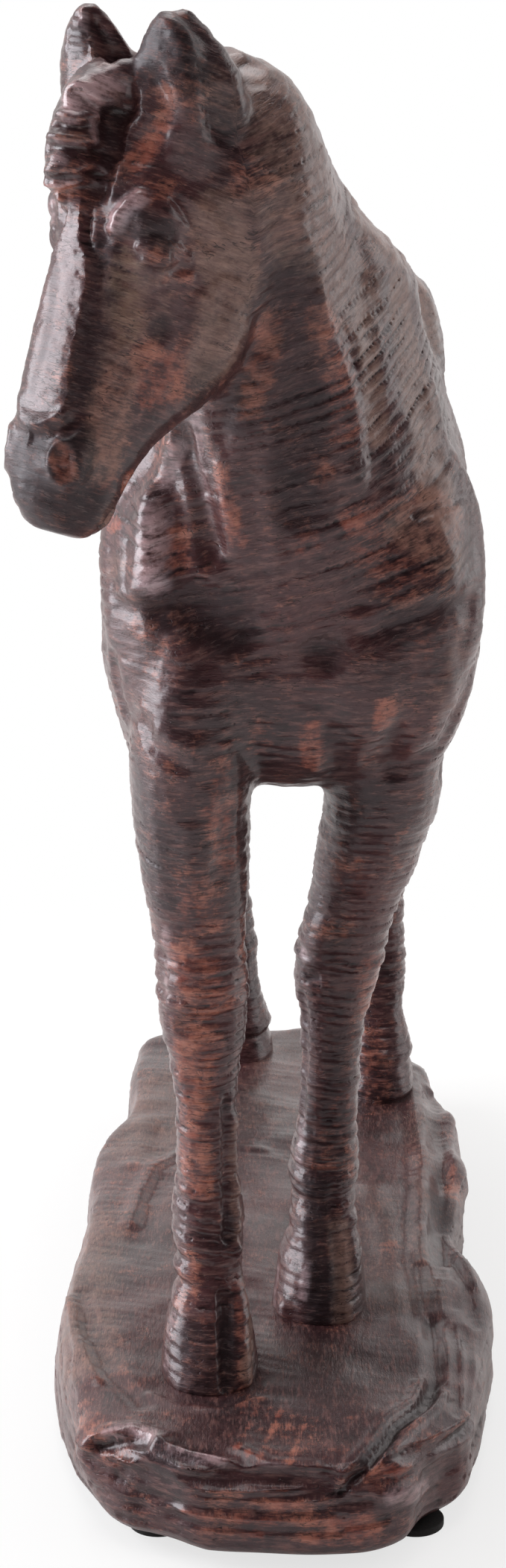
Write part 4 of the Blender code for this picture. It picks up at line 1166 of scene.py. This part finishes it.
# Near-black coat: glaze and cracks, with painted shade from the marks and hollows above.
black_glaze_cracks_and_shade = weighed(tree, (glaze_and_painted_shade, mask(tree, 0.35, 0.65, (mottled, 1), low=0.95, high=0.6)))
for held in (glaze_and_shade_in_hollows, cracks):
    black_glaze_cracks_and_shade = add_node(tree, "Math", {0: held, 1: black_glaze_cracks_and_shade}, operation="MAXIMUM")
# Painted highlight: pale lilac grey laid where light catches the varnish.
painted_highlight = weighed(tree, (gloss_and_painted_highlight, mask(tree, 0.55, 0.95, (streaky, 1), (mottled, 0.6))))
# Pale wax on the crowns of the ribs, and painted glints where light catches them.
edges = weighed(tree, (mask(tree, 0.75, 1.0, (crown, 1)),
                       mask(tree, 0.54, 0.66, (fine_streaks, 1), high=0.14)))
coat = painted(tree, ground, (red_mask, terracotta), (wax_and_sheen_mask, "#8f776b"), (khaki_mask, "#826d5a"),
               (weighed(tree, (black_glaze_cracks_and_shade, 0.88), clamp=True), "#1b1213"),
               (weighed(tree, (painted_highlight, 0.85), clamp=True), "#b4a8b0"), (edges, "#a08b87"))
tree.links.new(coat, shader.inputs["Base Color"])
print("with all coats:", len(tree.nodes), "nodes")

# %% Dry-brushed resin: varnish and tooth
# Wax and terracotta are matter than the bare ground. The varnish is thin over the glaze and painted shade
# marks, thick on the marks of painted highlights.
roughness = weighed(tree, (red_mask, 0.10), (wax_and_sheen_mask, 0.22), (glaze_and_painted_shade, 0.2),
                    (mask(tree, 0.3, 0.7, (streaky, 1), low=0.30, high=0.42), 1))
tree.links.new(roughness, shader.inputs["Roughness"])
thickness = weighed(tree, (mask(tree, 0.0, 1.0, (glaze_and_painted_shade, 1), low=0.5, high=0.15), 1), (gloss_and_painted_highlight, 0.5),
                    clamp=True)
tree.links.new(thickness, shader.inputs["Coat Weight"])
for name, value in {"IOR": 1.5, "Specular IOR Level": 0.45, "Specular Tint": linear("#e2dae2"),
                    "Coat Tint": linear("#e8d0ca"), "Coat Roughness": 0.2}.items():
    shader.inputs[name].default_value = value
tooth = weighed(tree, (streaky, 0.5), (fine_streaks, 0.55), (mottled, 0.35), (dusty, 0.06))
open_holes = add_node(tree, "Math", {0: pits, 1: cracks}, operation="MAXIMUM")
tooth = weighed(tree, (tooth, 1), (open_holes, -0.5))
bump = add_node(tree, "Bump", {"Height": tooth, "Strength": 0.55, "Distance": 0.5 * MM})
tree.links.new(bump, shader.inputs["Normal"])
varnish = add_node(tree, "Bump", {"Height": streaky, "Strength": 0.12, "Distance": 0.5 * MM})
tree.links.new(varnish, shader.inputs["Coat Normal"])
for made in castings:
    made.data.materials.clear()
    made.data.materials.append(paint)
print("paint has", len(tree.nodes), "nodes")

# %% [markdown]
# Wires, dowel and pads are stock materials. Each is one noise that mixes two near colours and also moves the
# roughness or the surface, because on real stock all of these come from the same scratches, fibres or cells.
#
# - Hard-drawn mild steel wire is pulled through a die, which leaves fine lines along it and a silky sheen.
#   Its lines are 0.05 mm apart and are drawn 0.8 mm apart, so that they show.
# - Turned beech is pale pinkish brown, with short flecks of 1.2 mm along the grain, dull and a little open.
# - EVA foam is punched from sheet: black, with cells of 0.2 mm that kill nearly all shine, drawn at 0.6 mm.

# %% Steel wire, beech dowel and foam pads
# noise: size in mm, detail, roughness, stretch; two colours; shader roughness; bump strength and depth in mm
STOCK = {"drawn_steel_wire": ((0.8, 2, 0.5, (1, 1, 0.05)), "#8d8f90", "#b4b5b4", (0.28, 0.42), None),
         "beech_dowel": ((1.2, 4, 0.6, (1, 0.12, 1)), "#b98f62", "#d3b083", (0.5, 0.65), (0.3, 0.1)),
         "eva_foam": ((0.6, 2, 0.6), "#161414", "#2a2726", None, (0.5, 0.15))}
stock = {}
for name, (noise, dark_colour, pale_colour, dull, dents) in STOCK.items():
    stock[name], tree, shader, place = new_material(name)
    pattern = grain(tree, place, *noise)
    tree.links.new(painted(tree, dark_colour, (pattern, pale_colour)), shader.inputs["Base Color"])
    if dull:
        ramp = mask(tree, 0.3, 0.7, (pattern, 1), low=dull[0], high=dull[1])
        tree.links.new(ramp, shader.inputs["Roughness"])
    if dents:
        bump = add_node(tree, "Bump", {"Height": pattern, "Strength": dents[0], "Distance": dents[1] * MM})
        tree.links.new(bump, shader.inputs["Normal"])
    print(name, "has", len(tree.nodes), "nodes")
stock["drawn_steel_wire"].node_tree.nodes["Principled BSDF"].inputs["Metallic"].default_value = 1.0
stock["eva_foam"].node_tree.nodes["Principled BSDF"].inputs["Roughness"].default_value = 0.85
for pad in pads:
    pad.data.materials.append(stock["eva_foam"])

# %% Materials of the cast parts that stay
MADE_OF = {"_wire": "drawn_steel_wire", "tail_pin": "drawn_steel_wire", "neck_dowel": "beech_dowel",
           "foot_pad": "eva_foam"}
for name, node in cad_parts.items():
    material = next((stock[kind] for word, kind in MADE_OF.items() if word in name), paint)
    for slot in node.material_slots:
        slot.material = material
print("materials:", ", ".join((paint.name, *stock)))

# %% [markdown]
# The photograph was taken on a white sweep. Light comes from the left and from above, the white sweep glows
# behind the horse, and the room behind the camera is dark. That dark room is why the surfaces that face the
# camera look deep brown, while those that face away shine.

# %% Floor
# White card. The camera sees it as pure white away from the horse, and as lit card near it, which keeps the
# shadow.
FLOOR_HALF = 4.0                     # metres
SHADOW_ENDS, ALL_WHITE = 0.14, 0.34  # metres from the middle
NEAR_WHITE = 0.72                    # share of pure white that the card keeps near the horse
MIRRORED = 0.3                       # share of it that mirror images show
shape = bmesh.new()
bmesh.ops.create_grid(shape, x_segments=1, y_segments=1, size=FLOOR_HALF)
floor = object_from(shape, "studio_floor")
sweep, tree, shader, place = new_material("white_card")
shader.inputs["Base Color"].default_value = linear("#f2f1ef")
shader.inputs["Roughness"].default_value = 0.9
path = add_node(tree, "LightPath", {}).node.outputs
mirrored = weighed(tree, (path["Is Glossy Ray"], MIRRORED))
direct = add_node(tree, "Math", {0: path["Is Camera Ray"], 1: mirrored}, operation="MAXIMUM")
away = add_node(tree, "VectorMath", {0: place}, "Value", operation="LENGTH")
far = mask(tree, SHADOW_ENDS, ALL_WHITE, (away, 1), low=NEAR_WHITE)
glow = add_node(tree, "Emission", {"Color": "#ffffff", "Strength": 1.0})
mixed = add_node(tree, "MixShader", {0: weighed(tree, (direct, far)), 1: shader.outputs[0], 2: glow})
tree.links.new(mixed, tree.nodes["Material Output"].inputs["Surface"])
floor.data.materials.append(sweep)
print("floor is", 2 * FLOOR_HALF, "m wide")

# %% World
world = bpy.data.worlds.new("studio")
bpy.context.scene.world = world
world.use_nodes = True
tree = world.node_tree
heading = add_node(tree, "SeparateXYZ", {0: add_node(tree, "TexCoord", {}, "Generated")}).node.outputs
room = mask(tree, -0.85, -0.2, (heading["Y"], -1.0), (heading["Z"], -0.25))
path = add_node(tree, "LightPath", {}).node.outputs
shiny = add_node(tree, "Math", {0: path["Is Glossy Ray"], 1: path["Is Transmission Ray"]},
                 operation="MAXIMUM")
air = painted(tree, "#aeaaaa", (shiny, painted(tree, "#ffffff", (room, "#362a2e"))),
              (path["Is Camera Ray"], "#ffffff"))
tree.links.new(air, tree.nodes["Background"].inputs["Color"])
print("world has", len(tree.nodes), "nodes")

# %% Lamps
# name: place and aim in metres, width, height, watts, colour
SOFT_BOXES = {"left_soft_box": ((-0.95, 0.05, 0.45), (0, 0, 0.17), 0.6, 0.8, 13.5, (0.93, 0.95, 1.0)),
              "top_soft_box": ((-0.10, 0.20, 1.15), (0, 0, 0.15), 0.8, 0.8, 7.0, (1, 1, 1)),
              "right_soft_box": ((0.95, 0.30, 0.45), (0, 0, 0.17), 0.5, 0.8, 2.5, (1, 1, 1))}
for name, (stand, aim, width, height, watts, colour) in SOFT_BOXES.items():
    lamp = bpy.data.lights.new(name, "AREA")
    lamp.shape = "RECTANGLE"
    lamp.size, lamp.size_y, lamp.energy, lamp.color = width, height, watts, colour
    box = bpy.data.objects.new(name, lamp)
    box.location = stand
    box.rotation_euler = (Vector(aim) - Vector(stand)).to_track_quat("-Z", "Y").to_euler()
    bpy.context.collection.objects.link(box)
print(len(SOFT_BOXES), "soft boxes")

# %% [markdown]
# The smooth clay was only a tool and goes.

# %% Finish
used = clay.data
bpy.data.objects.remove(clay)
bpy.data.meshes.remove(used)
